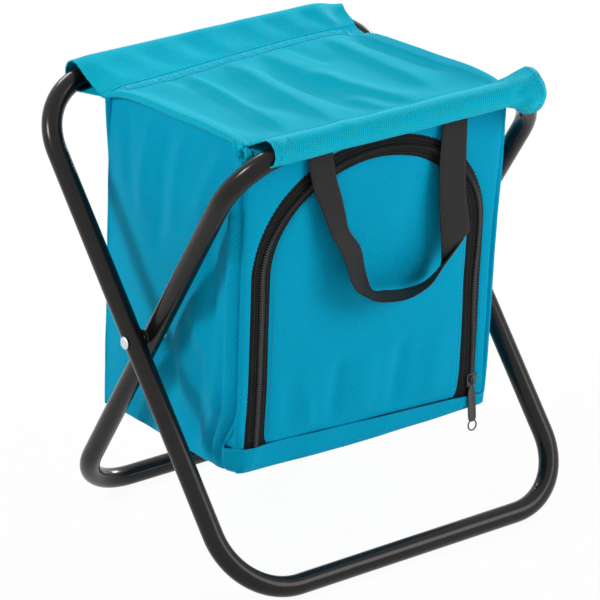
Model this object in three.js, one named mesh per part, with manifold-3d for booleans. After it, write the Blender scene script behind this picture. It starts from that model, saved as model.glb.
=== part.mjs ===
// Folding cooler stool: two crossing tube loops, a fabric seat slung between them
// and an insulated bag with an arched zip door hanging under the seat.
// Millimetres, Z up, X along the bars, front of the bag towards -Y, floor at Z = 0.

import * as THREE from 'three';
import { mergeVertices } from 'three/addons/utils/BufferGeometryUtils.js';
import Module from 'manifold-3d';

const wasm = await Module();
wasm.setup();

// Driving sizes of the frame
const tubeDiameter = 16;
const tubeWall = 1.2;
const outerFrameWidth = 314;
const legAbovePivot = 211;
const legBelowPivot = 213;
const openHalfAngle = THREE.MathUtils.degToRad(37);
const bendRadius = 54;
const tubeSides = 20;
const boreSides = 10;
const bendSteps = 8;

// Driving sizes of the pivots
const rivetDiameter = 5;
const rivetHeadDiameter = 10;
const rivetHeadHeight = 1.8;
const rivetTailDiameter = 8;
const washerThickness = 1;
const washerDiameter = 13;

// Driving sizes of the cloth
const clothThickness = 1.2;
const seatThickness = 1.6;
const foamThickness = 4;
const seatInset = 4;
const seatSag = 5;
const hemWidth = 3;
const hemHeight = 5;
const hemTop = 1;

// Driving sizes of the sleeves
const tailReach = 26;
const tailGap = 0.8;
const sleeveSides = 24;
const rearSleeveOverhang = 2;
const rearSleeveLooseEnd = 21;
const frontSleeveShort = 2;
const frontSleeveLooseEnd = 11;
const frontSleeveLift = 4;
const frontSleeveSlant = 0.3;
const looseTail = 18;

// Driving sizes of the bag
const sideRoom = 10.4;
const bagBottom = 86;
const frontSeamInset = 23;
const backSeamInset = 48;
const bagLean = THREE.MathUtils.degToRad(6.1);
const bandHeight = 13;
const pipingDiameter = 3;

// Driving sizes of the zip door, measured to the middle of the zip
const archSideMargin = 22;
const archTopMargin = 18;
const archRise = 82;
const archSteps = 16;
const zipGap = 8;
const tapeThickness = 0.8;
const tapeTuck = 3;
const coilRadius = 1.2;
const coilSpacing = 1.55;
const sliderLength = 11;
const sliderWidth = 9.6;
const sliderTaper = 0.6;
const sliderPlate = 1.2;
const pullLength = 36;
const pullWidth = 7.4;
const pullThickness = 1.4;

// Driving sizes of the handles
const strapWidth = 25;
const strapThickness = 1.6;
const strapTopSpread = 62;
const strapFootLeft = -20;
const strapFootRight = 55;
const strapDrop = 130;
const handleInset = 21;

// Clearances
const clearance = 0.3;
const foldGap = 1.2;
const bendSlack = 0.4;
const swingGap = 0.75;

// Values that follow from the driving sizes
const tubeRadius = tubeDiameter / 2;
const halfSide = Math.PI / tubeSides;
const innerFrameWidth = outerFrameWidth - 2 * (tubeDiameter + washerThickness + 2 * clearance);
const nearestSide = Math.round(openHalfAngle / (2 * halfSide)) * 2 * halfSide;
const restRadius = tubeRadius * Math.cos(openHalfAngle - nearestSide);
const pivotHeight = restRadius + legBelowPivot * Math.cos(openHalfAngle);
const barHeight = pivotHeight + legAbovePivot * Math.cos(openHalfAngle);
const barReach = legAbovePivot * Math.sin(openHalfAngle);
const sleeveBore = (tubeRadius + clearance) / Math.cos(Math.PI / sleeveSides);
const sleeveRadius = sleeveBore + clothThickness;
const seatEdge = barReach - tailReach;
const seatRim = barHeight + seatThickness / 2;
const tailRadius = clothThickness + tailGap / 2;
const tailMiddle = tailReach - tailRadius;
const tailLevel = seatRim - barHeight - tailRadius;
const bagHalfWidth = innerFrameWidth / 2 - tubeRadius - sideRoom;
const seatHalfWidth = bagHalfWidth - seatInset;
const archHalfWidth = bagHalfWidth - archSideMargin;
const bagDepth = 2 * barReach - frontSeamInset - backSeamInset;
const bagFrontBottom = frontSeamInset - barReach + (barHeight - bagBottom) * Math.tan(bagLean);
const handleStandOff = barReach - handleInset;
const tapeDepth = clothThickness + clearance;
const foamDepth = tapeDepth + tapeThickness + clearance;
const foamBack = foamDepth + foamThickness;
const wallInner = bagHalfWidth - clothThickness;
const sideFoamInner = wallInner - clearance - foamThickness;
const floorFoamTop = bagBottom + foamThickness;

const assembly = new THREE.Group();
assembly.name = 'folding_cooler_stool';

const finishes = {
  paint: { color: 0x2b2523, roughness: 0.3, metalness: 0.6 },
  zinc: { color: 0xc9ced3, roughness: 0.35, metalness: 0.9 },
  nylon: { color: 0x1b1b1c, roughness: 0.6, metalness: 0 },
  cloth: { color: 0x05a5c9, roughness: 0.85, metalness: 0 },
  foil: { color: 0xc4c8cb, roughness: 0.4, metalness: 0.5 },
  tape: { color: 0x151517, roughness: 0.8, metalness: 0 },
  coil: { color: 0x202022, roughness: 0.45, metalness: 0 },
  slider: { color: 0x2a2a2c, roughness: 0.4, metalness: 0.7 },
  webbing: { color: 0x1c1c1d, roughness: 0.85, metalness: 0 },
};

// Turn a three geometry into a solid for adding and cutting
function solidOf(geometry) {
  const bare = geometry.clone();
  bare.deleteAttribute('normal');
  bare.deleteAttribute('uv');
  const welded = mergeVertices(bare, 1e-4);
  const vertProperties = new Float32Array(welded.attributes.position.array);
  const triVerts = new Uint32Array(welded.index.array);
  return new wasm.Manifold(new wasm.Mesh({ numProp: 3, vertProperties, triVerts }));
}

// Turn a solid back into a three geometry
function geometryOf(solid) {
  const mesh = solid.getMesh();
  const geometry = new THREE.BufferGeometry();
  geometry.setAttribute('position', new THREE.BufferAttribute(new Float32Array(mesh.vertProperties), 3));
  geometry.setIndex(new THREE.BufferAttribute(new Uint32Array(mesh.triVerts), 1));
  geometry.computeVertexNormals();
  return geometry;
}

function addPart(name, geometry, finish) {
  const mesh = new THREE.Mesh(geometry, new THREE.MeshStandardMaterial(finishes[finish]));
  mesh.name = name;
  assembly.add(mesh);
}

// Shape with straight edges through a list of [a, b] points
function outline(points) {
  return new THREE.Shape(points.map(([a, b]) => new THREE.Vector2(a, b)));
}

function prism(shape, depth) {
  return new THREE.ExtrudeGeometry(shape, { depth, bevelEnabled: false, curveSegments: 8 });
}

// A (y, z) outline becomes a slab from one x to another
const sidewaysTurn = new THREE.Matrix4().makeBasis(
  new THREE.Vector3(0, 1, 0),
  new THREE.Vector3(0, 0, 1),
  new THREE.Vector3(1, 0, 0),
);

function acrossSlab(points, xStart, xEnd) {
  return prism(outline(points), xEnd - xStart).applyMatrix4(sidewaysTurn).translate(xStart, 0, 0);
}

function box(xStart, xEnd, yStart, yEnd, zStart, zEnd) {
  const geometry = new THREE.BoxGeometry(xEnd - xStart, yEnd - yStart, zEnd - zStart);
  return geometry.translate((xStart + xEnd) / 2, (yStart + yEnd) / 2, (zStart + zEnd) / 2);
}

// Tube loop: four bends joined by straights, standing at a slope through the pivot.
// Only the bends carry steps, so each straight is a single length.
class TubeLoop extends THREE.Curve {
  constructor(width, lean) {
    super();
    this.points = [];
    this.tangents = [];
    for (let corner = 0; corner < 4; corner += 1) {
      const side = corner === 0 || corner === 3 ? 1 : -1;
      const upper = corner < 2;
      const along = upper ? legAbovePivot - bendRadius : bendRadius - legBelowPivot;
      const across = side * (width / 2 - bendRadius);
      for (let step = 0; step <= bendSteps; step += 1) {
        const turn = (corner + step / bendSteps) * (Math.PI / 2);
        const height = along + bendRadius * Math.sin(turn);
        const rise = Math.cos(turn);
        const place = new THREE.Vector3(
          across + bendRadius * Math.cos(turn),
          lean * height * Math.sin(openHalfAngle),
          pivotHeight + height * Math.cos(openHalfAngle),
        );
        const heading = new THREE.Vector3(
          -Math.sin(turn),
          lean * rise * Math.sin(openHalfAngle),
          rise * Math.cos(openHalfAngle),
        );
        this.points.push(place);
        this.tangents.push(heading);
      }
    }
  }

  getPointAt(share) {
    const index = Math.round(share * this.points.length) % this.points.length;
    return this.points[index].clone();
  }

  getTangentAt(share) {
    const index = Math.round(share * this.points.length) % this.points.length;
    return this.tangents[index].clone();
  }
}

// Frames: hollow tube loops drilled for the rivets
function frameTube(width, lean) {
  const loop = new TubeLoop(width, lean);
  const rings = loop.points.length;
  const skin = solidOf(new THREE.TubeGeometry(loop, rings, tubeRadius, tubeSides, true));
  const bore = solidOf(new THREE.TubeGeometry(loop, rings, tubeRadius - tubeWall, boreSides, true));
  const drill = new THREE.CylinderGeometry(
    rivetDiameter / 2 + clearance,
    rivetDiameter / 2 + clearance,
    width + 2 * tubeDiameter,
    16,
  );
  drill.rotateZ(Math.PI / 2).translate(0, 0, pivotHeight);
  return geometryOf(skin.subtract(bore).subtract(solidOf(drill)));
}

addPart('outer_frame_tube', frameTube(outerFrameWidth, 1), 'paint');
addPart('inner_frame_tube', frameTube(innerFrameWidth, -1), 'paint');

// Pivots: one rivet through each pair of legs with a washer between the tubes
const rivetOuterSeat = outerFrameWidth / 2 + tubeRadius + clearance;
const rivetInnerSeat = innerFrameWidth / 2 - tubeRadius - clearance;
const rivetTailHeight = rivetHeadHeight * 0.8;
const washerStart = innerFrameWidth / 2 + tubeRadius + clearance;

function rivet(side) {
  const profile = [
    [0, rivetInnerSeat - rivetTailHeight],
    [rivetTailDiameter / 2, rivetInnerSeat - rivetTailHeight],
    [rivetTailDiameter / 2, rivetInnerSeat],
    [rivetDiameter / 2, rivetInnerSeat],
    [rivetDiameter / 2, rivetOuterSeat],
    [rivetHeadDiameter / 2, rivetOuterSeat],
    [rivetHeadDiameter / 2, rivetOuterSeat + rivetHeadHeight * 0.6],
    [rivetHeadDiameter / 2 - 0.7, rivetOuterSeat + rivetHeadHeight],
    [0, rivetOuterSeat + rivetHeadHeight],
  ];
  const turned = new THREE.LatheGeometry(profile.map(([r, a]) => new THREE.Vector2(r, a)), 24);
  return geometryOf(solidOf(turned.rotateZ(-side * Math.PI / 2).translate(0, 0, pivotHeight)));
}

function washer(side) {
  const ring = new THREE.Shape();
  ring.absarc(0, 0, washerDiameter / 2, 0, 2 * Math.PI);
  const hole = new THREE.Path();
  hole.absarc(0, 0, rivetDiameter / 2 + clearance, 0, 2 * Math.PI, true);
  ring.holes.push(hole);
  const start = side > 0 ? washerStart : -washerStart - washerThickness;
  return prism(ring, washerThickness).applyMatrix4(sidewaysTurn).translate(start, 0, pivotHeight);
}

for (const [word, side] of [['left', -1], ['right', 1]]) {
  addPart(`${word}_pivot_rivet`, rivet(side), 'zinc');
  addPart(`${word}_pivot_washer`, washer(side), 'nylon');
}

// Seat: a sagging sheet between the two sleeves, with folded hems at its sides
function seatHeight(y) {
  return seatRim - seatSag * (1 - (y / seatEdge) ** 2);
}

function seatBand(yStart, yEnd, above, below, steps) {
  const points = [];
  for (let step = 0; step <= steps; step += 1) {
    const y = yStart + (yEnd - yStart) * (step / steps);
    points.push([y, seatHeight(y) + below]);
  }
  for (let step = steps; step >= 0; step -= 1) {
    const y = yStart + (yEnd - yStart) * (step / steps);
    points.push([y, seatHeight(y) + above]);
  }
  return points;
}

const seatSpan = seatEdge - clearance;
const seatSection = seatBand(-seatSpan, seatSpan, 0, -seatThickness, 12);
addPart('seat_panel', acrossSlab(seatSection, -seatHalfWidth, seatHalfWidth), 'cloth');

const hemStart = seatHalfWidth + clearance;
const hemSection = seatBand(-seatSpan, seatSpan - foldGap, hemTop, hemTop - hemHeight, 12);
addPart('left_seat_hem', acrossSlab(hemSection, -hemStart - hemWidth, -hemStart), 'cloth');
addPart('right_seat_hem', acrossSlab(hemSection, hemStart, hemStart + hemWidth), 'cloth');

// How far the under side of a bar has dropped down its leg at one x
function barDrop(width, x) {
  const across = Math.abs(x) - (width / 2 - bendRadius);
  const insideBend = bendRadius - tubeRadius;
  return across > 0 ? insideBend - Math.sqrt(insideBend ** 2 - across ** 2) + bendSlack : 0;
}

// Sleeves: a loop of cloth hangs round each top bar and closes in a tail that meets the seat.
// A section is the outline round the straight bar, a loose end's lift, the dropped bar and the tail.
// Its first number runs from the bar to the seat, its second up.
// A slanting section meets the dropped bar nearer the middle, which a few passes find.
function sleeveCircles(width, { x, lift = 0, slant = 0, tail = tailMiddle }) {
  let drop = barDrop(width, x);
  for (let pass = 0; pass < 6; pass += 1) {
    drop = barDrop(width, x - slant * drop * Math.cos(openHalfAngle));
  }
  const low = [drop * Math.sin(openHalfAngle), -drop * Math.cos(openHalfAngle)];
  return [
    { middle: [0, 0], bore: sleeveBore },
    { middle: [0, lift], bore: sleeveBore },
    { middle: low, bore: sleeveBore },
    { middle: [tail, tailLevel], bore: tailRadius - clothThickness },
  ];
}

function sleeveSection(circles, thickness) {
  const points = [];
  for (let step = 0; step < sleeveSides; step += 1) {
    const turn = (step / sleeveSides) * 2 * Math.PI;
    const reach = ({ middle, bore }) => middle[0] * Math.cos(turn) + middle[1] * Math.sin(turn) + bore;
    const widest = circles.reduce((best, circle) => (reach(circle) > reach(best) ? circle : best));
    const radius = widest.bore + thickness;
    points.push([
      widest.middle[0] + radius * Math.cos(turn),
      widest.middle[1] + radius * Math.sin(turn),
    ]);
  }
  return points;
}

// Shell through the sections, with the cloth's thickness between an outer and an inner skin
function sleeve(width, lean, stations) {
  const positions = [];
  for (const station of stations) {
    const { x, slant = 0 } = station;
    const circles = sleeveCircles(width, station);
    for (const thickness of [clothThickness, 0]) {
      for (const [a, b] of sleeveSection(circles, thickness)) {
        positions.push(x + slant * b, lean * (barReach - a), barHeight + b);
      }
    }
  }
  const triangles = [];
  const addQuad = (p, q, r, t) => {
    const corners = lean < 0 ? [p, q, r, p, r, t] : [p, r, q, p, t, r];
    triangles.push(...corners);
  };
  const place = (station, skin, side) => (station * 2 + skin) * sleeveSides + (side % sleeveSides);
  const last = stations.length - 1;
  for (let side = 0; side < sleeveSides; side += 1) {
    for (let i = 0; i < last; i += 1) {
      addQuad(place(i, 0, side), place(i, 0, side + 1), place(i + 1, 0, side + 1), place(i + 1, 0, side));
      addQuad(place(i, 1, side), place(i + 1, 1, side), place(i + 1, 1, side + 1), place(i, 1, side + 1));
    }
    addQuad(place(0, 0, side), place(0, 1, side), place(0, 1, side + 1), place(0, 0, side + 1));
    addQuad(place(last, 0, side), place(last, 0, side + 1), place(last, 1, side + 1), place(last, 1, side));
  }
  const geometry = new THREE.BufferGeometry();
  geometry.setAttribute('position', new THREE.Float32BufferAttribute(positions, 3));
  geometry.setIndex(triangles);
  return geometryOf(solidOf(geometry));
}

// Height of a sleeve's under side above the bar's middle, some way behind the bar
function underSleeve(width, x, behind) {
  const { middle: [lowAcross, lowUp] } = sleeveCircles(width, { x })[2];
  const span = Math.hypot(tailMiddle - lowAcross, tailLevel - lowUp);
  const pinch = Math.asin((sleeveRadius - tailRadius) / span);
  const slope = Math.atan2(tailLevel - lowUp, tailMiddle - lowAcross) + pinch;
  return lowUp + ((behind - lowAcross) * Math.sin(slope) - sleeveRadius) / Math.cos(slope);
}

const outerBend = outerFrameWidth / 2 - bendRadius;
const innerBend = innerFrameWidth / 2 - bendRadius;
const looseSteps = 4;

// Stations from the end of the straight bar to the end of a sleeve
function looseStations(side, start, end) {
  const stations = [];
  for (let step = 0; step <= looseSteps; step += 1) {
    stations.push({ x: side * (start + (end - start) * (step / looseSteps)) });
  }
  return side < 0 ? stations.reverse() : stations;
}

const bellEnd = { lift: frontSleeveLift, slant: frontSleeveSlant, tail: looseTail };
const rearStations = [
  ...looseStations(-1, outerBend, seatHalfWidth + rearSleeveOverhang),
  ...looseStations(1, outerBend, seatHalfWidth + rearSleeveLooseEnd),
];
const frontStations = [
  ...looseStations(-1, innerBend, seatHalfWidth - frontSleeveShort),
  ...looseStations(1, innerBend, seatHalfWidth),
  { x: seatHalfWidth + foldGap, tail: looseTail },
  { x: seatHalfWidth + frontSleeveLooseEnd, ...bellEnd },
];
addPart('rear_sleeve', sleeve(outerFrameWidth, 1, rearStations), 'cloth');
addPart('front_sleeve', sleeve(innerFrameWidth, -1, frontStations), 'cloth');

// The walls stop under the hems
const wallDrop = hemHeight - hemTop + clearance;

// The bag's front and back lean, so both are drawn flat and stood up:
// first number across, second up the wall, third out of the front
function stand(geometry, y) {
  return geometry.rotateX(Math.PI / 2 + bagLean).translate(0, y, bagBottom);
}

function frontLayer(shape, depthStart, depthEnd) {
  return stand(prism(shape, depthEnd - depthStart).translate(0, 0, -depthEnd), bagFrontBottom);
}

function backLayer(shape, depthStart, depthEnd) {
  return stand(prism(shape, depthEnd - depthStart).translate(0, 0, depthStart), bagFrontBottom + bagDepth);
}

function upWall(height) {
  return (height - bagBottom) / Math.cos(bagLean);
}

function frontFace(height, depth) {
  return bagFrontBottom - (height - bagBottom) * Math.tan(bagLean) + depth / Math.cos(bagLean);
}

function backFace(height, depth) {
  return frontFace(height, 0) + bagDepth - depth / Math.cos(bagLean);
}

function rectangle(aStart, aEnd, bStart, bEnd) {
  return outline([[aStart, bStart], [aEnd, bStart], [aEnd, bEnd], [aStart, bEnd]]);
}

const frontHalfWidth = bagHalfWidth - pipingDiameter;
const frontSeamDrop = underSleeve(innerFrameWidth, frontHalfWidth, frontSeamInset - pipingDiameter / 2);
const frontTop = upWall(barHeight + frontSeamDrop - clearance);
const frontFoamTop = frontTop - foldGap * 3;
const doorFoot = bandHeight + clearance;
const archBase = frontTop - archTopMargin - archRise;

// Points along the door's arch, left foot to right foot, moved out from the zip's middle
function archPoints(shift, footLeft, footRight) {
  const points = [[-archHalfWidth - shift, footLeft]];
  for (let step = 0; step <= archSteps; step += 1) {
    const turn = Math.PI * (1 - step / archSteps);
    points.push([
      (archHalfWidth + shift) * Math.cos(turn),
      archBase + (archRise + shift) * Math.sin(turn),
    ]);
  }
  points.push([archHalfWidth + shift, footRight]);
  return points;
}

function archBand(outer, inner, footLeft, footRight) {
  const outside = archPoints(outer, footLeft, footRight);
  const inside = archPoints(inner, footLeft, footRight).reverse();
  return outline(outside.concat(inside));
}

// Wall with the arch cut out of it, open at the foot
function archWall(halfWidth, foot, top, shift) {
  const opening = archPoints(shift, foot, foot);
  return outline([[-halfWidth, foot], ...opening, [halfWidth, foot], [halfWidth, top], [-halfWidth, top]]);
}

const foamFoot = upWall(floorFoamTop + foldGap);

const frontShape = archWall(frontHalfWidth, doorFoot, frontTop, zipGap);
addPart('front_wall', frontLayer(frontShape, 0, clothThickness), 'cloth');
addPart(
  'front_band',
  frontLayer(rectangle(-frontHalfWidth, frontHalfWidth, 0, bandHeight), 0, clothThickness),
  'cloth',
);
const surround = archWall(sideFoamInner - clearance, doorFoot, frontFoamTop, foldGap);
addPart('front_insulation', frontLayer(surround, foamDepth, foamBack), 'foil');

// Door: cloth panel, its insulation and its half of the zip, hinged along the band
const doorShape = outline(archPoints(-zipGap, doorFoot, doorFoot));
addPart('door_flap', frontLayer(doorShape, 0, clothThickness), 'cloth');
const doorFoam = outline(archPoints(-zipGap + tapeTuck - clearance, foamFoot, foamFoot));
addPart('door_insulation', frontLayer(doorFoam, foamDepth, foamBack), 'foil');

// Zip: two tapes, two coils, a slider parked at the right foot and its pull
const sliderFoot = bandHeight + 1.5;
const innerFootRight = sliderFoot + sliderLength + foldGap;
const outerTape = archBand(zipGap + tapeTuck, clearance, doorFoot, doorFoot);
const innerTape = archBand(-clearance, -zipGap - tapeTuck, doorFoot, innerFootRight);
addPart('zip_tape_outer', frontLayer(outerTape, tapeDepth, tapeDepth + tapeThickness), 'tape');
addPart('zip_tape_inner', frontLayer(innerTape, tapeDepth, tapeDepth + tapeThickness), 'tape');

class ZipLine extends THREE.Curve {
  constructor(shift, footLeft, footRight) {
    super();
    this.points = archPoints(shift, footLeft, footRight);
  }

  get steps() {
    return this.points.length - 1;
  }

  getPointAt(share) {
    const [a, b] = this.points[Math.round(share * this.steps)];
    return new THREE.Vector3(a, b, 0);
  }

  getTangentAt(share) {
    const index = Math.round(share * this.steps);
    const before = this.points[Math.max(index - 1, 0)];
    const after = this.points[Math.min(index + 1, this.steps)];
    return new THREE.Vector3(after[0] - before[0], after[1] - before[1], 0).normalize();
  }
}

function coil(shift, footRight) {
  const line = new ZipLine(shift, doorFoot, footRight);
  const round = new THREE.Shape();
  round.absarc(0, 0, coilRadius, 0, 2 * Math.PI);
  const rod = new THREE.ExtrudeGeometry(round, { steps: line.steps, extrudePath: line, curveSegments: 3 });
  return stand(rod, bagFrontBottom);
}

addPart('zip_coil_outer', coil(coilSpacing, doorFoot), 'coil');
addPart('zip_coil_inner', coil(-coilSpacing, innerFootRight), 'coil');

const plateBack = coilRadius + clearance;
const plateFront = plateBack + sliderPlate;
const sliderMiddle = sliderFoot + sliderLength / 2;
const lipWidth = 1.1;
const bailWidth = 2.2;
const bailLength = 7;
const bailWall = 1;
const pullBar = 0.75;
const bailInside = 2 * (pullBar + clearance);

function slider() {
  const half = sliderWidth / 2;
  const foot = half - sliderTaper;
  const top = sliderFoot + sliderLength;
  const shape = new THREE.Shape();
  shape.moveTo(-foot, sliderFoot);
  shape.lineTo(foot, sliderFoot);
  shape.lineTo(half, top - half / 2);
  shape.quadraticCurveTo(half, top, half / 2, top);
  shape.lineTo(-half / 2, top);
  shape.quadraticCurveTo(-half, top, -half, top - half / 2);
  const lipBack = clearance - tapeDepth;
  const way = half - sliderTaper - lipWidth;
  const body = solidOf(prism(shape, plateFront - lipBack).translate(0, 0, lipBack));
  const channel = box(-way, way, sliderFoot - clearance, top + clearance, lipBack - clearance, plateBack);
  const bailStart = sliderMiddle - bailLength / 2;
  const bailEnd = sliderMiddle + bailLength / 2;
  const bailTop = plateFront + bailInside + bailWall;
  const arch = new THREE.Shape();
  arch.moveTo(bailStart, plateBack);
  arch.lineTo(bailStart, bailTop - bailWall);
  arch.quadraticCurveTo(bailStart, bailTop, bailStart + bailWall, bailTop);
  arch.lineTo(bailEnd - bailWall, bailTop);
  arch.quadraticCurveTo(bailEnd, bailTop, bailEnd, bailTop - bailWall);
  arch.lineTo(bailEnd, plateBack);
  arch.lineTo(bailEnd - bailWall, plateBack);
  arch.lineTo(bailEnd - bailWall, bailTop - bailWall);
  arch.lineTo(bailStart + bailWall, bailTop - bailWall);
  arch.lineTo(bailStart + bailWall, plateBack);
  const bail = prism(arch, bailWidth).applyMatrix4(sidewaysTurn).translate(-bailWidth / 2, 0, 0);
  const joined = body.subtract(solidOf(channel)).add(solidOf(bail));
  return stand(geometryOf(joined).translate(archHalfWidth, 0, 0), bagFrontBottom);
}

addPart('zip_slider', slider(), 'slider');

// The pull hangs from a bar under the bail; its foot is a ring
const pullAxisUp = sliderMiddle - bailLength / 2 + bailWall + clearance + pullBar;
const pullAxisOut = plateFront + clearance + pullBar;
const pullEye = bailWidth + 2 * foldGap;

function pull() {
  const shape = new THREE.Shape();
  const half = pullWidth / 2;
  const ringDrop = pullLength - half;
  shape.moveTo(-half, -pullBar);
  shape.lineTo(-half, -ringDrop);
  shape.absarc(0, -ringDrop, half, Math.PI, 2 * Math.PI);
  shape.lineTo(half, pullBar);
  shape.lineTo(-half, pullBar);
  const ring = new THREE.Path();
  ring.absarc(0, -ringDrop, half - 1.3, 0, 2 * Math.PI, true);
  const eye = new THREE.Path();
  eye.moveTo(-pullEye / 2, -pullBar);
  eye.lineTo(pullEye / 2, -pullBar);
  eye.lineTo(pullEye / 2, -pullBar - bailWall - 2 * foldGap);
  eye.lineTo(-pullEye / 2, -pullBar - bailWall - 2 * foldGap);
  shape.holes.push(ring);
  shape.holes.push(eye);
  const blade = prism(shape, pullThickness);
  blade.translate(archHalfWidth, pullAxisUp, pullAxisOut - pullThickness / 2);
  return stand(blade, bagFrontBottom);
}

addPart('zip_pull', pull(), 'slider');

// Back wall with its insulation
const backTop = upWall(seatHeight(backFace(seatRim, 0)) - wallDrop - foldGap / 2);
const backFoamTop = backTop - foldGap;
const backShape = rectangle(-frontHalfWidth, frontHalfWidth, 0, backTop);
const foamHalfWidth = sideFoamInner - clearance;
const backFoamShape = rectangle(-foamHalfWidth, foamHalfWidth, foamFoot, backFoamTop);
addPart('back_wall', backLayer(backShape, 0, clothThickness), 'cloth');
addPart('back_insulation', backLayer(backFoamShape, tapeDepth, tapeDepth + foamThickness), 'foil');

// Piped corner seams
function piping(side, back) {
  const length = back ? backTop : frontTop;
  const rod = new THREE.CylinderGeometry(pipingDiameter / 2, pipingDiameter / 2, length, 10);
  rod.translate(side * (bagHalfWidth - pipingDiameter / 2 + clearance), length / 2, 0);
  return stand(rod, bagFrontBottom + (back ? bagDepth : 0));
}

addPart('front_left_piping', piping(-1, false), 'cloth');
addPart('front_right_piping', piping(1, false), 'cloth');
addPart('back_left_piping', piping(-1, true), 'cloth');
addPart('back_right_piping', piping(1, true), 'cloth');

// Side walls, floor and their insulation; the tops follow the seat's sag
const wallDepth = pipingDiameter / 2 + clearance;

function sidePanel(bottom, drop, depth) {
  const steps = 8;
  const start = frontFace(seatRim - drop, depth);
  const end = backFace(seatRim - drop, depth);
  const points = [[frontFace(bottom, depth), bottom]];
  points.push([backFace(bottom, depth), bottom]);
  for (let step = steps; step >= 0; step -= 1) {
    const y = start + (end - start) * (step / steps);
    points.push([y, Math.min(seatHeight(y), seatRim) - drop]);
  }
  return points;
}

const foamDrop = seatThickness + clearance;
const wallPoints = sidePanel(bagBottom, wallDrop, wallDepth);
const sideFoamPoints = sidePanel(bagBottom, wallDrop, foamDepth);
addPart('left_wall', acrossSlab(wallPoints, -bagHalfWidth, -wallInner), 'cloth');
addPart('right_wall', acrossSlab(wallPoints, wallInner, bagHalfWidth), 'cloth');
addPart('left_insulation', acrossSlab(sideFoamPoints, -wallInner + clearance, -sideFoamInner), 'foil');
addPart('right_insulation', acrossSlab(sideFoamPoints, sideFoamInner, wallInner - clearance), 'foil');

const floorTop = bagBottom - clearance;
const floorFront = frontFace(bagBottom, 0);
const floorBack = backFace(bagBottom, 0);
addPart(
  'floor_panel',
  box(-bagHalfWidth, bagHalfWidth, floorFront, floorBack, floorTop - clothThickness, floorTop),
  'cloth',
);
const floorFoamFront = frontFace(bagBottom, foamBack) + clearance;
const floorFoamBack = backFace(floorFoamTop, tapeDepth + foamThickness) - 3 * foldGap;
addPart(
  'floor_insulation',
  box(-foamHalfWidth, foamHalfWidth, floorFoamFront, floorFoamBack, bagBottom, floorFoamTop),
  'foil',
);

// Lid insulation under the seat, between the side sheets
const lidFront = frontFace(seatRim, foamBack) + foldGap;
const lidBack = backFace(seatRim, tapeDepth + foamThickness) - foldGap;
const lidPoints = seatBand(lidFront, lidBack, -foamDrop, -foamDrop - foamThickness, 10);
addPart('lid_insulation', acrossSlab(lidPoints, -foamHalfWidth, foamHalfWidth), 'foil');

// Handles: two straps hanging from the sleeve seam, folded into a level grip
function handle(lean) {
  const near = handleStandOff;
  const far = handleStandOff + strapThickness;
  const top = barHeight + underSleeve(innerFrameWidth, 0, barReach - far) - swingGap;
  const bottom = top - strapDrop;
  const half = strapWidth / 2;
  const standing = (topMiddle, footMiddle) => {
    const strap = outline([
      [footMiddle - half, bottom],
      [footMiddle + half, bottom],
      [topMiddle + half, top],
      [topMiddle - half, top],
    ]);
    return prism(strap, far - near).rotateX(Math.PI / 2).translate(0, -near, 0);
  };
  const left = standing(-strapTopSpread, strapFootLeft);
  const right = standing(strapTopSpread, strapFootRight);
  const gripStart = strapFootLeft - half;
  const gripEnd = strapFootRight + half;
  const grip = box(gripStart, gripEnd, -near - half, -near + half, bottom, bottom + strapThickness);
  const joined = solidOf(left).add(solidOf(right)).add(solidOf(grip));
  const geometry = geometryOf(joined);
  return lean < 0 ? geometry : geometry.rotateZ(Math.PI);
}

addPart('front_handle', handle(-1), 'webbing');
addPart('back_handle', handle(1), 'webbing');

export default assembly;
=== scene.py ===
import math
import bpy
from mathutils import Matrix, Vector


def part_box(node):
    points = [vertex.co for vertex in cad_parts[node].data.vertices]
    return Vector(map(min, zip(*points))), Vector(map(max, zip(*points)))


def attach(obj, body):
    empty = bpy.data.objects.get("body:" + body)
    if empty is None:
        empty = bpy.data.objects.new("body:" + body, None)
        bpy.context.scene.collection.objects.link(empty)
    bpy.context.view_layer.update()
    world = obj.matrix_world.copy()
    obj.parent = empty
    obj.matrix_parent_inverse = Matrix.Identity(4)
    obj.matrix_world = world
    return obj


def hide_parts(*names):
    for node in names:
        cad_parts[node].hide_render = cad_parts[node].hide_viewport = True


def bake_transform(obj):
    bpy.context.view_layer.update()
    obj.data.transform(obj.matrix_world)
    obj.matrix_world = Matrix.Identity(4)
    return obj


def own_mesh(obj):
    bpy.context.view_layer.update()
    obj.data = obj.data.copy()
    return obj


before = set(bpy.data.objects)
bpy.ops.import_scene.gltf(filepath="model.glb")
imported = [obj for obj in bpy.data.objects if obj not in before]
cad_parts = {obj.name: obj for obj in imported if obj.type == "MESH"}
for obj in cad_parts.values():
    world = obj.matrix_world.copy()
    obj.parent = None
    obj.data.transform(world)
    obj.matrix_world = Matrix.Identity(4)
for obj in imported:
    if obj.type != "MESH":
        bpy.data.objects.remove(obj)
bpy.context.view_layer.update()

from types import SimpleNamespace

import bmesh
import bpy
import numpy as np
from bpy.props import FloatProperty, FloatVectorProperty, PointerProperty
from bpy.types import NodeSocket, Operator, Panel, PropertyGroup
from mathutils import Matrix

bl_info = {
    "name": "Folding Cooler Stool",
    "version": (1, 0, 0),
    "blender": (4, 5, 0),
    "location": "View3D > Sidebar > Stool",
    "description": "Dresses the folding cooler stool with its tubes, cloth, zip door, handles and lining",
    "category": "Object",
}

MM = 0.001
RIVET_LOW, RIVET_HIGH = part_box("left_pivot_rivet")
SIDES = (("left", -1), ("right", 1))


def length(name, words, default):
    return FloatProperty(name=name, description=words, default=default, unit="LENGTH", precision=5)


def angle(name, words, degrees):
    return FloatProperty(name=name, description=words, default=math.radians(degrees), unit="ROTATION")


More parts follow.
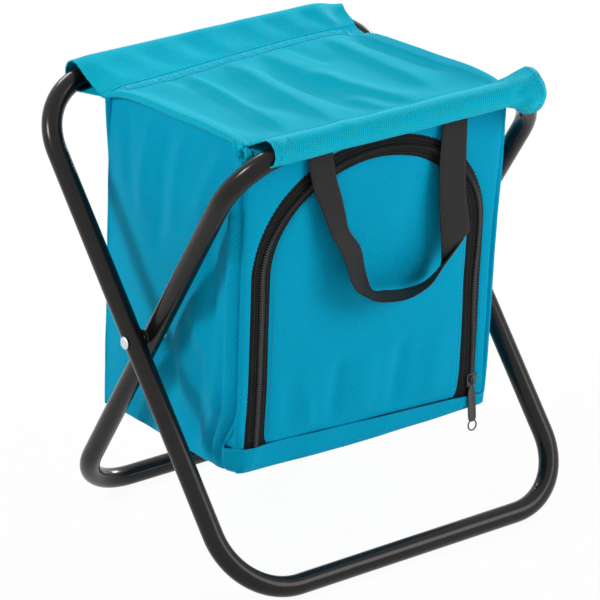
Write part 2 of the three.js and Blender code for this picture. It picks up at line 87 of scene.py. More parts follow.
def colour(name, words, default):
    return FloatVectorProperty(
        name=name, description=words, default=default, size=3, min=0.0, max=1.0, subtype="COLOR")


class StoolSizes(PropertyGroup):
    """Sizes of the stool that its pieces are built from"""
    tube_diameter: length("Tube diameter", "Outside of the steel tube", 0.016)
    outer_half: length("Outer frame half width", "Middle of the stool to the outer leg's middle", 0.157)
    inner_half: length("Inner frame half width", "Middle of the stool to the inner leg's middle", 0.1394)
    leg_above: length("Leg above pivot", "Pivot to the middle of the top bar", 0.211)
    leg_below: length("Leg below pivot", "Pivot to the middle of the bottom bar", 0.213)
    open_angle: angle("Opening", "Lean of each leg when the stool stands open", 37)
    bend_radius: length("Bend radius", "Bend at each corner of a tube loop", 0.054)
    pivot_height: length("Pivot height", "Floor to the pivot", (RIVET_LOW.z + RIVET_HIGH.z) / 2)
    bar_height: length("Bar height", "Floor to the middle of a top bar", 0.34662)
    bar_reach: length("Bar reach", "Pivot to the middle of a top bar, front to back", 0.126983)
    cloth: length("Cloth", "Thickness of the coated cloth", 0.0011)
    sleeve_radius: length("Sleeve radius", "Middle of a bar to the outside of its sleeve", 0.0096)
    seat_half: length("Seat half width", "Middle of the seat to its side at the corners", 0.1185)
    seat_waist: length("Seat waist", "How far the seat's sides pull in", 0.0012)
    bag_half: length("Bag half width", "Middle of the bag to a side wall", 0.121)
    bag_bottom: length("Bag bottom", "Floor to the foot of the bag", 0.086)
    bag_depth: length("Bag depth", "Front wall to back wall", 0.182966)
    bag_shut: length("Bag shut", "Depth at which the halves of the sides meet", 0.1)
    bag_foot: length("Bag front foot", "Foot of the front wall, front to back", -0.07613)
    bag_lean: angle("Bag lean", "Forward lean of the front and back walls", 6.1)
    zip_half: length("Zip half width", "Middle of the bag to the zip's straight sides", 0.099)
    arch_base: length("Arch base", "Foot of the front wall to the start of the arch", 0.1534)
    arch_rise: length("Arch rise", "Height of the zip's arch", 0.082)
    strap_thick: length("Strap thickness", "Thickness of the handle webbing", 0.0016)


class StoolColours(PropertyGroup):
    """Colours of the stool's finishes"""
    cloth: colour("Seat cloth", "Turquoise cloth of the seat", (0.0005, 0.53, 0.72))
    sleeve: colour("Sleeve cloth", "Cloth of the sleeves and hems", (0.0006, 0.56, 0.765))
    wall: colour("Bag cloth", "Turquoise cloth of the bag", (0.0003, 0.45, 0.72))
    paint: colour("Paint", "Dark brown gloss paint on the tubes", (0.0105, 0.0085, 0.0072))
    zinc: colour("Zinc", "Plated rivets", (0.68, 0.71, 0.73))
    nylon: colour("Nylon", "Washers between the tubes", (0.025, 0.025, 0.027))
    webbing: colour("Webbing", "Handle webbing", (0.013, 0.0126, 0.0122))
    tape: colour("Zip tape", "Woven tape on each side of the zip", (0.006, 0.006, 0.0065))
    teeth: colour("Zip teeth", "Nylon coil of the zip", (0.015, 0.0147, 0.0145))
    slider: colour("Slider", "Lacquer on the slider and its pull", (0.022, 0.022, 0.024))
    foil: colour("Foil", "Silver lining of the cooler", (0.74, 0.76, 0.78))


ANGLES = ("open_angle", "bag_lean")


def sizes():
    group = bpy.context.scene.stool_sizes
    values = {name: getattr(group, name) for name in StoolSizes.__annotations__}
    return SimpleNamespace(**{k: v if k in ANGLES else v / MM for k, v in values.items()})


def tint(name, factor=1.0):
    rgb = getattr(bpy.context.scene.stool_colours, name)
    return tuple(min(1.0, c * factor) for c in rgb) + (1.0,)


# Node helpers

def node(tree, kind, inputs=None, **settings):
    made = tree.nodes.new(kind)
    for key, value in settings.items():
        setattr(made, key, value)
    for key, value in (inputs or {}).items():
        if isinstance(value, NodeSocket):
            tree.links.new(value, made.inputs[key])
        else:
            made.inputs[key].default_value = value
    return made


def calc(tree, operation, a, b=0.0):
    return node(tree, "ShaderNodeMath", {0: a, 1: b}, operation=operation).outputs[0]


def spread(tree, value, low, high):
    made = node(tree, "ShaderNodeMapRange", {"Value": value, "To Min": low, "To Max": high})
    return made.outputs["Result"]


def blend_colours(tree, factor, first, second):
    made = node(tree, "ShaderNodeMix", {"Factor": factor, 6: first, 7: second}, data_type="RGBA")
    return made.outputs[2]


def fill_weave(tree, given, made):
    """Yarns of a woven cloth along its flat pattern, with a valley mask for painted shade between the yarns
    """
    flat = node(tree, "ShaderNodeTexCoord").outputs["UV"]
    parts = node(tree, "ShaderNodeSeparateXYZ", {0: flat}).outputs
    uneven = node(tree, "ShaderNodeTexNoise", {"Vector": flat, "Scale": 420.0, "Detail": 2.0})
    wobble = spread(tree, uneven.outputs["Fac"], -0.35, 0.35)
    lean_v = calc(tree, "MULTIPLY", parts["Y"], given["Lean"])
    lean_u = calc(tree, "MULTIPLY", parts["X"], given["Lean"])
    across = calc(tree, "ADD", parts["X"], lean_v)
    along = calc(tree, "SUBTRACT", parts["Y"], lean_u)
    waves = []
    for way, high in ((across, 0.34), (along, 0.16)):
        count = calc(tree, "ADD", calc(tree, "DIVIDE", way, given["Pitch"]), wobble)
        wave = calc(tree, "SINE", calc(tree, "MULTIPLY", count, math.tau))
        waves.append(calc(tree, "MULTIPLY", wave, high))
    height = calc(tree, "ADD", calc(tree, "ADD", *waves), 0.5)
    tree.links.new(height, made["Height"])
    # Valley mask: one minus the relief, used to paint shade between the yarns
    tree.links.new(calc(tree, "SUBTRACT", 1.0, height), made["Valley"])


def fill_mottle(tree, given, made):
    """Slow and fine unevenness of a finish"""
    place = node(tree, "ShaderNodeTexCoord").outputs["Object"]
    for label in ("Broad", "Fine"):
        cloud = node(tree, "ShaderNodeTexNoise",
                     {"Vector": place, "Scale": given[label + " Scale"], "Detail": 3.0})
        tree.links.new(cloud.outputs["Fac"], made[label])


def fill_marks(tree, given, made):
    """Thin rubbed marks on a hard finish"""
    place = node(tree, "ShaderNodeTexCoord").outputs["Object"]
    drawn = node(tree, "ShaderNodeMapping", {"Vector": place, "Scale": (1.0, 0.25, 1.6)})
    cloud = node(tree, "ShaderNodeTexNoise", {
        "Vector": drawn.outputs[0], "Scale": given["Scale"], "Detail": 6.0, "Roughness": 0.7})
    mark = node(tree, "ShaderNodeMapRange", {
        "Value": cloud.outputs["Fac"], "From Min": given["Least"], "From Max": 0.8})
    tree.links.new(mark.outputs["Result"], made["Mask"])


# Shared node groups: what fills them, their inputs with defaults, and their outputs
GROUPS = {
    "yarn weave": (fill_weave, [("Pitch", 0.0018), ("Lean", 1.0)], ["Height", "Valley"]),
    "finish mottle": (fill_mottle, [("Broad Scale", 14.0), ("Fine Scale", 260.0)], ["Broad", "Fine"]),
    "rubbed marks": (fill_marks, [("Scale", 60.0), ("Least", 0.62)], ["Mask"]),
}


def new_group(name):
    fill, inputs, outputs = GROUPS[name]
    tree = bpy.data.node_groups.new(name, "ShaderNodeTree")
    for label, default in inputs:
        socket = tree.interface.new_socket(label, in_out="INPUT", socket_type="NodeSocketFloat")
        socket.default_value = default
    for label in outputs:
        tree.interface.new_socket(label, in_out="OUTPUT", socket_type="NodeSocketFloat")
    fill(tree, node(tree, "NodeGroupInput").outputs, node(tree, "NodeGroupOutput").inputs)


def set_inputs(made, values):
    for key, value in values.items():
        made.inputs[key.replace("_", " ")].default_value = value


def grouped(tree, name, **values):
    """Outputs of a shared node group, which is made when it is first asked for"""
    if name not in bpy.data.node_groups:
        new_group(name)
    made = node(tree, "ShaderNodeGroup", node_tree=bpy.data.node_groups[name])
    set_inputs(made, values)
    return made.outputs


def empty_material(name):
    made = bpy.data.materials.new(name)
    made.use_nodes = True
    made.node_tree.nodes.clear()
    return made, made.node_tree


def new_material(name, broad_scale, fine_scale, **values):
    """Principled finish, with the slow and the fine unevenness that every finish uses"""
    made, tree = empty_material(name)
    bsdf = node(tree, "ShaderNodeBsdfPrincipled")
    set_inputs(bsdf, values)
    node(tree, "ShaderNodeOutputMaterial", {"Surface": bsdf.outputs[0]})
    mottle = grouped(tree, "finish mottle", Broad_Scale=broad_scale, Fine_Scale=fine_scale)
    return made, tree, bsdf, mottle["Broad"], mottle["Fine"]


def feed(tree, bsdf, base, rough, height, depth, strength=1.0):
    """Link a finish's colour, roughness and fine relief"""
    tree.links.new(base, bsdf.inputs["Base Color"])
    tree.links.new(rough, bsdf.inputs["Roughness"])
    bump = node(tree, "ShaderNodeBump", {"Height": height, "Distance": depth, "Strength": strength})
    tree.links.new(bump.outputs[0], bsdf.inputs["Normal"])


def cloth_finish(name, lean, ink, gloss, rough=(0.5, 0.72), sheen=0.02):
    made, tree, bsdf, broad, fine = new_material(
        name, 18.0, 420.0, Sheen_Weight=sheen, Sheen_Roughness=0.4, Sheen_Tint=(0.75, 0.95, 1.0, 1.0),
        Specular_IOR_Level=gloss)
    weave = grouped(tree, "yarn weave", Pitch=0.0019, Lean=lean)
    # Painted shade in the weave's valleys and painted highlight on the yarn tops
    yarn = blend_colours(tree, weave["Valley"], tint(ink, 1.3), tint(ink, 0.58))
    base = blend_colours(tree, spread(tree, broad, 0.0, 0.25), yarn, tint(ink, 0.86))
    height = calc(tree, "ADD", weave["Height"], calc(tree, "MULTIPLY", fine, 0.35))
    feed(tree, bsdf, base, spread(tree, fine, *rough), height, 0.00022, 0.8)
    return made


def nylon_finish(name, broad_scale, fine_scale, ink, dark, light, rough, gloss=0.5):
    made, tree, bsdf, broad, fine = new_material(name, broad_scale, fine_scale, Specular_IOR_Level=gloss)
    base = blend_colours(tree, broad, tint(ink, dark), tint(ink, light))
    feed(tree, bsdf, base, spread(tree, fine, *rough), fine, 0.00004)
    return made


def thread():
    made, tree, bsdf, broad, fine = new_material("turquoise thread", 60.0, 1500.0, Sheen_Weight=0.1)
    base = blend_colours(tree, fine, tint("wall", 0.55), tint("wall", 0.85))
    feed(tree, bsdf, base, spread(tree, broad, 0.45, 0.65), fine, 0.0001)
    return made


def tube_paint():
    made, tree, bsdf, broad, fine = new_material(
        "dark gloss tube paint", 9.0, 700.0, Coat_Roughness=0.05, Specular_IOR_Level=0.18)
    marks = grouped(tree, "rubbed marks", Scale=85.0, Least=0.66)
    tone = blend_colours(tree, broad, tint("paint", 0.8), tint("paint", 1.35))
    worn = calc(tree, "MULTIPLY", marks["Mask"], 0.25)
    base = blend_colours(tree, worn, tone, (0.05, 0.044, 0.04, 1.0))
    feed(tree, bsdf, base, calc(tree, "ADD", spread(tree, broad, 0.2, 0.3), worn), fine, 0.00005, 0.25)
    tree.links.new(spread(tree, broad, 0.09, 0.2), bsdf.inputs["Coat Weight"])
    return made


def plated_zinc():
    made, tree, bsdf, broad, fine = new_material("plated zinc", 200.0, 1800.0, Metallic=1.0)
    marks = grouped(tree, "rubbed marks", Scale=900.0, Least=0.5)
    base = blend_colours(tree, marks["Mask"], tint("zinc"), tint("zinc", 0.7))
    feed(tree, bsdf, base, spread(tree, broad, 0.28, 0.46), fine, 0.00005, 0.5)
    return made


def handle_webbing():
    made, tree, bsdf, broad, fine = new_material(
        "black ribbed webbing", 30.0, 900.0, Sheen_Weight=0.04, Specular_IOR_Level=0.25)
    row_pitch, line_pitch = 0.0027, 0.0023
    flat = node(tree, "ShaderNodeTexCoord").outputs["UV"]
    parts = node(tree, "ShaderNodeSeparateXYZ", {0: flat}).outputs
    rows = calc(tree, "SINE", calc(tree, "MULTIPLY", parts["X"], math.tau / row_pitch))
    lines = calc(tree, "SINE", calc(tree, "MULTIPLY", parts["Y"], math.tau / line_pitch))
    yarn = calc(tree, "MULTIPLY", calc(tree, "MULTIPLY", rows, lines), 0.3)
    height = calc(tree, "ADD", yarn, calc(tree, "MULTIPLY", rows, 0.2))
    height = calc(tree, "ADD", height, 0.5)
    # Painted shade between the ribs and painted highlight on their tops, from the same relief as the bump
    base = blend_colours(tree, height, tint("webbing", 0.2), tint("webbing", 1.7))
    base = blend_colours(tree, spread(tree, broad, 0.0, 0.35), base, tint("webbing"))
    feed(tree, bsdf, base, spread(tree, fine, 0.5, 0.72), height, 0.0004, 0.8)
    return made


def zip_tape():
    made, tree, bsdf, broad, _ = new_material(
        "woven zip tape", 40.0, 900.0, Sheen_Weight=0.02, Specular_IOR_Level=0.15)
    weave = grouped(tree, "yarn weave", Pitch=0.0012, Lean=0.9)
    # Painted shade between the yarns and painted highlight on their tops, from the same relief as the bump
    base = blend_colours(tree, weave["Height"], tint("tape", 0.6), tint("tape", 1.7))
    feed(tree, bsdf, base, spread(tree, broad, 0.62, 0.82), weave["Height"], 0.0002, 0.7)
    return made


def slider_lacquer():
    made, tree, bsdf, broad, fine = new_material("slider lacquer", 160.0, 1500.0, Coat_Roughness=0.12)
    marks = grouped(tree, "rubbed marks", Scale=420.0, Least=0.58)
    base = blend_colours(tree, marks["Mask"], tint("slider"), (0.24, 0.23, 0.22, 1.0))
    feed(tree, bsdf, base, spread(tree, broad, 0.22, 0.36), fine, 0.00004, 0.4)
    tree.links.new(spread(tree, marks["Mask"], 0.0, 0.75), bsdf.inputs["Metallic"])
    tree.links.new(spread(tree, broad, 0.3, 0.55), bsdf.inputs["Coat Weight"])
    return made


def cooler_foil():
    made, tree, bsdf, broad, fine = new_material("cooler foil", 55.0, 230.0, Metallic=1.0)
    place = node(tree, "ShaderNodeTexCoord").outputs["Object"]
    crease = node(tree, "ShaderNodeTexVoronoi", {"Vector": place, "Scale": 95.0}, feature="DISTANCE_TO_EDGE")
    fold = spread(tree, crease.outputs["Distance"], 0.0, 1.6)
    base = blend_colours(tree, broad, tint("foil", 0.86), tint("foil", 1.08))
    feed(tree, bsdf, base, spread(tree, fine, 0.24, 0.42), calc(tree, "ADD", fold, broad), 0.0009, 0.6)
    return made


# Finishes by the word that a piece gives: the function that makes one, its slot and what it is given
FINISHES = {
    "wall": (cloth_finish, "cloth", ("turquoise bag cloth", 1.0, "wall", 0.04)),
    "seat": (cloth_finish, "cloth", ("turquoise seat cloth", 1.0, "cloth", 0.004, (0.34, 0.48), 0.12)),
    "sleeve": (cloth_finish, "cloth", ("turquoise sleeve cloth", 0.28, "sleeve", 0.09)),
    "thread": (thread, "cloth", ()),
    "paint": (tube_paint, "paint", ()),
    "zinc": (plated_zinc, "zinc", ()),
    "nylon": (nylon_finish, "nylon", ("washer nylon", 120.0, 1500.0, "nylon", 0.8, 1.5, (0.4, 0.55))),
    "webbing": (handle_webbing, "webbing", ()),
    "tape": (zip_tape, "tape", ()),
    "teeth": (nylon_finish, "tape", ("zip tooth nylon", 55.0, 1600.0, "teeth", 0.7, 1.7, (0.26, 0.4), 0.4)),
    "slider": (slider_lacquer, "slider", ()),
    "foil": (cooler_foil, "foil", ()),
}
made_finishes = {}


def finish(name):
    if name not in made_finishes:
        build, _, given = FINISHES[name]
        made_finishes[name] = build(*given)
    return made_finishes[name]


# Mesh helpers, in millimetres

def smooth(t):
    t = np.clip(t, 0.0, 1.0)
    return t * t * (3 - 2 * t)


def unit(v):
    return v / np.maximum(np.linalg.norm(v, axis=-1, keepdims=True), 1e-9)


def stack(*parts):
    return np.stack(np.broadcast_arrays(*parts), axis=-1).astype(float)


def lengths(points):
    """Way along each line of points from its start; a line runs along the last axis but one"""
    steps = np.linalg.norm(np.diff(points, axis=-2), axis=-1)
    return np.concatenate([np.zeros_like(steps[..., :1]), np.cumsum(steps, axis=-1)], axis=-1)


def circle(sides):
    """Round outline with a radius of one"""
    turn = np.arange(sides) * math.tau / sides
    return np.stack([np.cos(turn), np.sin(turn)], axis=-1)


def hump(a, middle, wide):
    return np.exp(-(((a - middle) / wide) ** 2))


def square_to(run, out):
    """Directions out, turned until they stand square on the directions run"""
    return unit(out - run * np.sum(out * run, axis=1, keepdims=True))


def between(inner, outer, shares):
    """Grid of flat points from one line to another, and the share of the way"""
    t = shares[None, :, None]
    grid = inner[:, None] * (1 - t) + outer[:, None] * t
    return grid[..., 0], grid[..., 1], t[..., 0]


def new_piece(name, points, faces, look, uv=None, sharp=40):
    mesh = bpy.data.meshes.new(name)
    mesh.from_pydata((np.asarray(points) * MM).tolist(), [], faces)
    if uv is not None:
        layer = mesh.uv_layers.new(name="flat pattern")
        corner = np.empty(len(mesh.loops), dtype=np.int32)
        mesh.loops.foreach_get("vertex_index", corner)
        layer.data.foreach_set("uv", (np.asarray(uv)[corner] * MM).astype(np.float32).ravel())
    work = bmesh.new()
    work.from_mesh(mesh)
    bmesh.ops.recalc_face_normals(work, faces=work.faces)
    work.to_mesh(mesh)
    work.free()
    mesh.shade_smooth()
    mesh.set_sharp_from_angle(angle=math.radians(sharp))
    made = bpy.data.objects.new(name, mesh)
    bpy.context.scene.collection.objects.link(made)
    made.data.materials.append(finish(look))
    return made


def grid_faces(rows, cols, wrap=False):
    faces = []
    for i in range(rows - 1):
        for j in range(cols if wrap else cols - 1):
            k = (j + 1) % cols
            faces.append((i * cols + j, (i + 1) * cols + j, (i + 1) * cols + k, i * cols + k))
    return faces


def surface_normals(points):
    return unit(np.cross(np.gradient(points, axis=0), np.gradient(points, axis=1)))


def sheet_piece(name, points, uv, thick, look, inward=-1.0):
    """Closed sheet: the given outside face, a second face set off inward, and the rim"""
    rows, cols = points.shape[:2]
    count = rows * cols
    back = points + surface_normals(points) * thick * inward
    everything = np.concatenate([points.reshape(-1, 3), back.reshape(-1, 3)])
    faces = grid_faces(rows, cols)
    faces += [tuple(count + k for k in reversed(f)) for f in grid_faces(rows, cols)]
    rim = list(range(cols))
    rim += [i * cols + cols - 1 for i in range(1, rows)]
    rim += [(rows - 1) * cols + j for j in range(cols - 2, -1, -1)]
    rim += [i * cols for i in range(rows - 2, 0, -1)]
    for a, b in zip(rim, rim[1:] + rim[:1]):
        faces.append((a, b, count + b, count + a))
    flat = uv.reshape(-1, 2)
    return new_piece(name, everything, faces, look, np.concatenate([flat, flat]))


def sweep_piece(name, path, side, up, profile, look, loop=False, across_uv=False):
    """Profile, closed, carried along a path; profile may change from point to point"""
    count = len(path)
    profile = np.broadcast_to(profile, (count,) + np.shape(profile)[-2:])
    cols = profile.shape[1]
    points = path[:, None] + profile[..., :1] * side[:, None] + profile[..., 1:] * up[:, None]
    faces = grid_faces(count, cols, wrap=True)
    if loop:
        last = (count - 1) * cols
        for j in range(cols):
            k = (j + 1) % cols
            faces.append((last + j, j, k, last + k))
    else:
        faces += [tuple(range(cols)), tuple(reversed(range((count - 1) * cols, count * cols)))]
    around = profile[..., 0] if across_uv else lengths(profile)
    uv = stack(lengths(path)[:, None], around)
    return new_piece(name, points.reshape(-1, 3), faces, look, uv.reshape(-1, 2))


def resample(points, spacing=None, count=None):
    points = np.asarray(points, dtype=float)
    along = lengths(points)
    count = count or max(2, int(round(along[-1] / spacing)) + 1)
    return looked_up(np.linspace(0, along[-1], count), along, points)


def looked_up(at, along, values):
    return np.stack([np.interp(at, along, column) for column in values.T], axis=-1)


def curve_through(points, count):
    """Smooth curve through a few points, evenly spaced"""
    p = np.asarray(points, dtype=float)
    p = np.concatenate([[2 * p[0] - p[1]], p, [2 * p[-1] - p[-2]]])
    fine = []
    for a, b, c, d in zip(p[:-3], p[1:-2], p[2:-1], p[3:]):
        t = np.linspace(0, 1, 24, endpoint=False)[:, None]
        fine.append(0.5 * (2 * b + (c - a) * t + (2 * a - 5 * b + 4 * c - d) * t**2
                           + (3 * b - a - 3 * c + d) * t**3))
    fine.append(p[-2:-1])
    return resample(np.concatenate(fine), count=count)


def scatter_piece(name, shape, faces, places, along, up, look):
    """One small form set many times: its first axis along, its third up"""
    along = unit(along)
    side = unit(np.cross(up, along))
    top = np.cross(along, side)
    points = (places[:, None] + shape[None, :, :1] * along[:, None]
              + shape[None, :, 1:2] * side[:, None] + shape[None, :, 2:] * top[:, None])
    every = []
    for i in range(len(places)):
        every += [tuple(k + i * len(shape) for k in f) for f in faces]
    return new_piece(name, points.reshape(-1, 3), every, look)


def lathe_form(stations, radii, sides, squash=1.0):
    """Turned form: its first axis runs along the stations"""
    ring = circle(sides)
    points = [stack(x, r * ring[:, 0], r * squash * ring[:, 1]) for x, r in zip(stations, radii)]
    faces = grid_faces(len(stations), sides, wrap=True)
    faces += [tuple(range(sides)), tuple(range((len(stations) - 1) * sides, len(stations) * sides))]
    return np.concatenate(points), faces


def stitch_row(name, line, up, look="thread", stitch=3.0, gap=1.2, radius=0.34):
    """Row of single stitches along a line that lies on the cloth"""
    places = resample(line, spacing=stitch + gap)
    along = unit(np.gradient(places, axis=0))
    half = stitch / 2
    shape, faces = lathe_form(
        (-half, -0.8 * half, 0, 0.8 * half, half),
        (0.12 * radius, 0.8 * radius, radius, 0.8 * radius, 0.12 * radius), 6, 0.8)
    if np.ndim(up) == 1:
        up = np.broadcast_to(up, places.shape)
    else:
        up = looked_up(np.linspace(0, len(up) - 1, len(places)), np.arange(len(up)), up)
    return scatter_piece(name, shape, faces, places, along, up, look)


def soft_folds(a, b, lines, lean=0.0):
    """Sum of soft ridges, each from a0, b0 to a1, b1 with a width and a height; lean widens one flank"""
    total = np.zeros(np.broadcast(a, b).shape)
    for a0, b0, a1, b1, wide, high in lines:
        da, db = a1 - a0, b1 - b0
        run = math.hypot(da, db)
        t = ((a - a0) * da + (b - b0) * db) / run**2
        away = ((a - a0) * db - (b - b0) * da) / run
        fade = smooth(3.2 * np.minimum(t, 1 - t) + 0.25)
        flank = wide * (1 - lean * np.sign(away))
        total = total + high * fade * hump(away, 0.0, flank)
    return total


def ripple(a, b, size, high, seed):
    """Slow unevenness of slack cloth"""
    chance = np.random.default_rng(seed)
    waves = 7
    total = np.zeros(np.broadcast(a, b).shape)
    for _ in range(waves):
        turn = chance.uniform(0, math.tau)
        wave = size * chance.uniform(0.6, 1.7)
        phase = chance.uniform(0, math.tau)
        total = total + np.sin((a * math.cos(turn) + b * math.sin(turn)) * math.tau / wave + phase)
    return total * high / waves


# Places on the stool

CORNER_RADIUS = 4.5
WALL_MIDDLE = 130.0


def wall_point(s, u, v, out=0.0):
    """Point on the front wall: u to the right, v up the wall, out towards the front"""
    lean_s, lean_c = math.sin(s.bag_lean), math.cos(s.bag_lean)
    return stack(u, s.bag_foot - v * lean_s - out * lean_c, s.bag_bottom + v * lean_c - out * lean_s)


def bag_point(s, x, depth, v):
    """Point on or in the bag: depth back from the front wall, v up along it"""
    return stack(x, s.bag_foot + depth - v * math.sin(s.bag_lean), s.bag_bottom + v * math.cos(s.bag_lean))


def wall_out(s):
    return np.array([0.0, -math.cos(s.bag_lean), -math.sin(s.bag_lean)])


def front_corner(side, v):
    """Distance of a front corner seam from the middle, up the wall"""
    if side < 0:
        return np.interp(v, [-6, 60, 258], [119.5, 120.5, 120.5])
    return np.interp(v, [-6, 5, 23, 40, 75, 115, 157, 191, 224, 258],
                     [115.0, 115.4, 116.4, 117.2, 117.8, 118.4, 118.8, 120.2, 120.9, 120.6])


def rear_corner(v):
    """Distance of a rear corner seam from the middle, up the wall"""
    return np.interp(v, [-6, 20, 150, 205, 258], [116.6, 116.6, 115.4, 115.4, 118.8])


def corner_wrap(side, v):
    """How far the front cloth runs back round a corner, which on the left is further near the foot"""
    if side < 0:
        return 3.6 + 15.9 * smooth((52.0 - v) / 42.0)
    return 6.0 + 0.0 * v


def front_point(s, p, v, out):
    """Front cloth by its unrolled place p: past a corner it runs back along the side"""
    p, v, out = np.broadcast_arrays(np.asarray(p, dtype=float), v, out)
    side = np.where(p < 0, -1.0, 1.0)
    edge = np.where(p < 0, front_corner(-1, v), front_corner(1, v))
    radius = CORNER_RADIUS
    past = np.maximum(np.abs(p) - (edge - radius), 0.0)
    turn = np.minimum(past / radius, math.pi / 2)
    straight = past - turn * radius
    x = np.where(past > 0, edge - radius + radius * np.sin(turn), np.abs(p)) + out * np.sin(turn)
    depth = radius * (1 - np.cos(turn)) + straight - out * np.cos(turn)
    return bag_point(s, side * x, depth, v)


def unrolled(side, v, wrap):
    """Unrolled place of a point that lies wrap behind the front, round a corner"""
    radius = CORNER_RADIUS
    arc = radius * np.arccos(np.clip(1 - wrap / radius, 0.0, 1.0))
    return side * (front_corner(side, v) - radius + arc + np.maximum(wrap - radius, 0.0))


def behind_front(s, away):
    """Point in the middle of the bag, square behind the front wall"""
    return wall_point(s, 0.0, WALL_MIDDLE) - wall_out(s) * away


def from_ends(s, depth):
    """Distance to the nearer of the front and back walls"""
    return np.minimum(depth, s.bag_depth - depth)


def split_row(points):
    """Row where the front half and the back half meet when the bag is shut, and its depth"""
    s = sizes()
    depth = ((behind_front(s, 0.0) - points) @ wall_out(s)).reshape(len(points), -1).mean(axis=1)
    row = int(np.argmin(np.abs(depth - s.bag_shut * math.cos(s.bag_lean))))
    return row, float(depth[row])


def half_rows(row):
    return ("front", slice(0, row + 1)), ("back", slice(row, None))


def ride_half(obj):
    """Cloth piece with its placing baked into its points"""
    s = sizes()
    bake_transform(obj)


def halves(name, points, uv, thick, look, node_name, inward=-1.0):
    """A sheet that runs front to back, as a front half and a back half"""
    row, depth = split_row(points)
    made = []
    for half, part in half_rows(row):
        piece = sheet_piece(f"{name}_{half}", points[part], uv[part], thick, look, inward)
        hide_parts(node_name)
        ride_half(piece)
        made.append(piece)
    return made


def seat_edge(s, y):
    """Distance of the seat's side from the middle: it pulls in between the corners"""
    t = np.clip(np.abs((np.asarray(y, dtype=float) + 10.0) / 94.0), 0.0, 1.0)
    return s.seat_half - s.seat_waist * (1 - t**5)


SEAT_WRINKLES = [
    (-45, 82, -72, -98, 10, 4.2), (-8, 86, -31, -98, 11, 4.4), (28, 88, 25, -14, 11, 3.2),
    (24, 20, 43, -98, 10, 3.8), (15, -44, 14, -98, 6, 1.8), (89, 92, 75, -76, 11, 4.2),
    (-90, 64, -94, -88, 10, -2.2), (-64, 92, -61, 36, 7, -1.6), (-40, 76, -52, -40, 9, -2.8),
    (2, 64, 2, -90, 10, -2.8), (52, 92, 57, 30, 8, -2.0), (101, 84, 106, -60, 12, -3.2),
]


def seat_height(s, x, y):
    """Height of the seat's cloth, with its sag, its raised sides and its folds"""
    across = np.clip(1 - (x / s.seat_half) ** 2, 0, 1)
    along = np.clip(1 - ((y + 8) / 98) ** 2, 0, 1)
    ends = np.clip(1 - np.abs((y + 8) / 94) ** 4, 0, 1)
    level = s.bar_height - 1.2 - 2.6 * across**0.6 * along + 5.4 * np.abs(x / s.seat_half) ** 7 * ends
    level = level + 2.7 * np.exp(-np.clip(y + 104, 0, 200) / 6.5) - 1.4 * smooth((-97 - y) / 6)
    level = level - 3.6 * np.exp(-(((np.abs(x) - 119) / 11) ** 2) - ((y - 86) / 15) ** 2)
    level = level - 2.0 * np.exp(-(((np.abs(x) - 118) / 8) ** 2) - ((y + 102) / 12) ** 2)
    clear = across**0.3 * smooth((flap_seam(x) - y) / 16)
    return level + soft_folds(x, y, SEAT_WRINKLES, 0.45) * clear + ripple(x, y, 60, 0.9, 3)


def flap_seam(x):
    """Where the rear sleeve is sewn down on the seat"""
    return np.interp(x, [-119, -104, -88, -40, 0, 40, 70, 110, 138],
                     [84, 82, 81.5, 87, 91.5, 95.5, 98, 97.5, 96])


class StoolPiece:
    """What the operators share"""
    bl_options = {"REGISTER"}


# Lamps: name, place, the point that each faces, size and power
LAMPS = (
    ("right softbox", (1.95, 0.6, 0.86), (0.0, 0.0, 0.33), 0.45, 31.0),
    ("front softbox", (1.3, -2.2, 1.35), (0.0, 0.0, 0.2), 1.5, 34.0),
    ("left softbox", (-1.8, 0.4, 1.75), (0.0, 0.0, 0.2), 0.5, 25.0),
    ("rear softbox", (0.2, 1.75, 1.75), (0.0, 0.0, 0.33), 0.5, 13.5),
)
LAMP_UP = (0.0, 0.17, 1.0)
CAMERA_RIGHT = (0.81072, -0.58458, -0.03143)
CAMERA_UP = (0.22756, 0.26522, 0.93695)
CAMERA_BACK = (-0.53939, -0.76676, 0.34805)
CAMERA_PLACE = (-1.54067, -2.18438, 1.16482)
WHITE = (1, 1, 1, 1)
FLOOR_HALF = 9
FLOOR_DROP = 0.0004


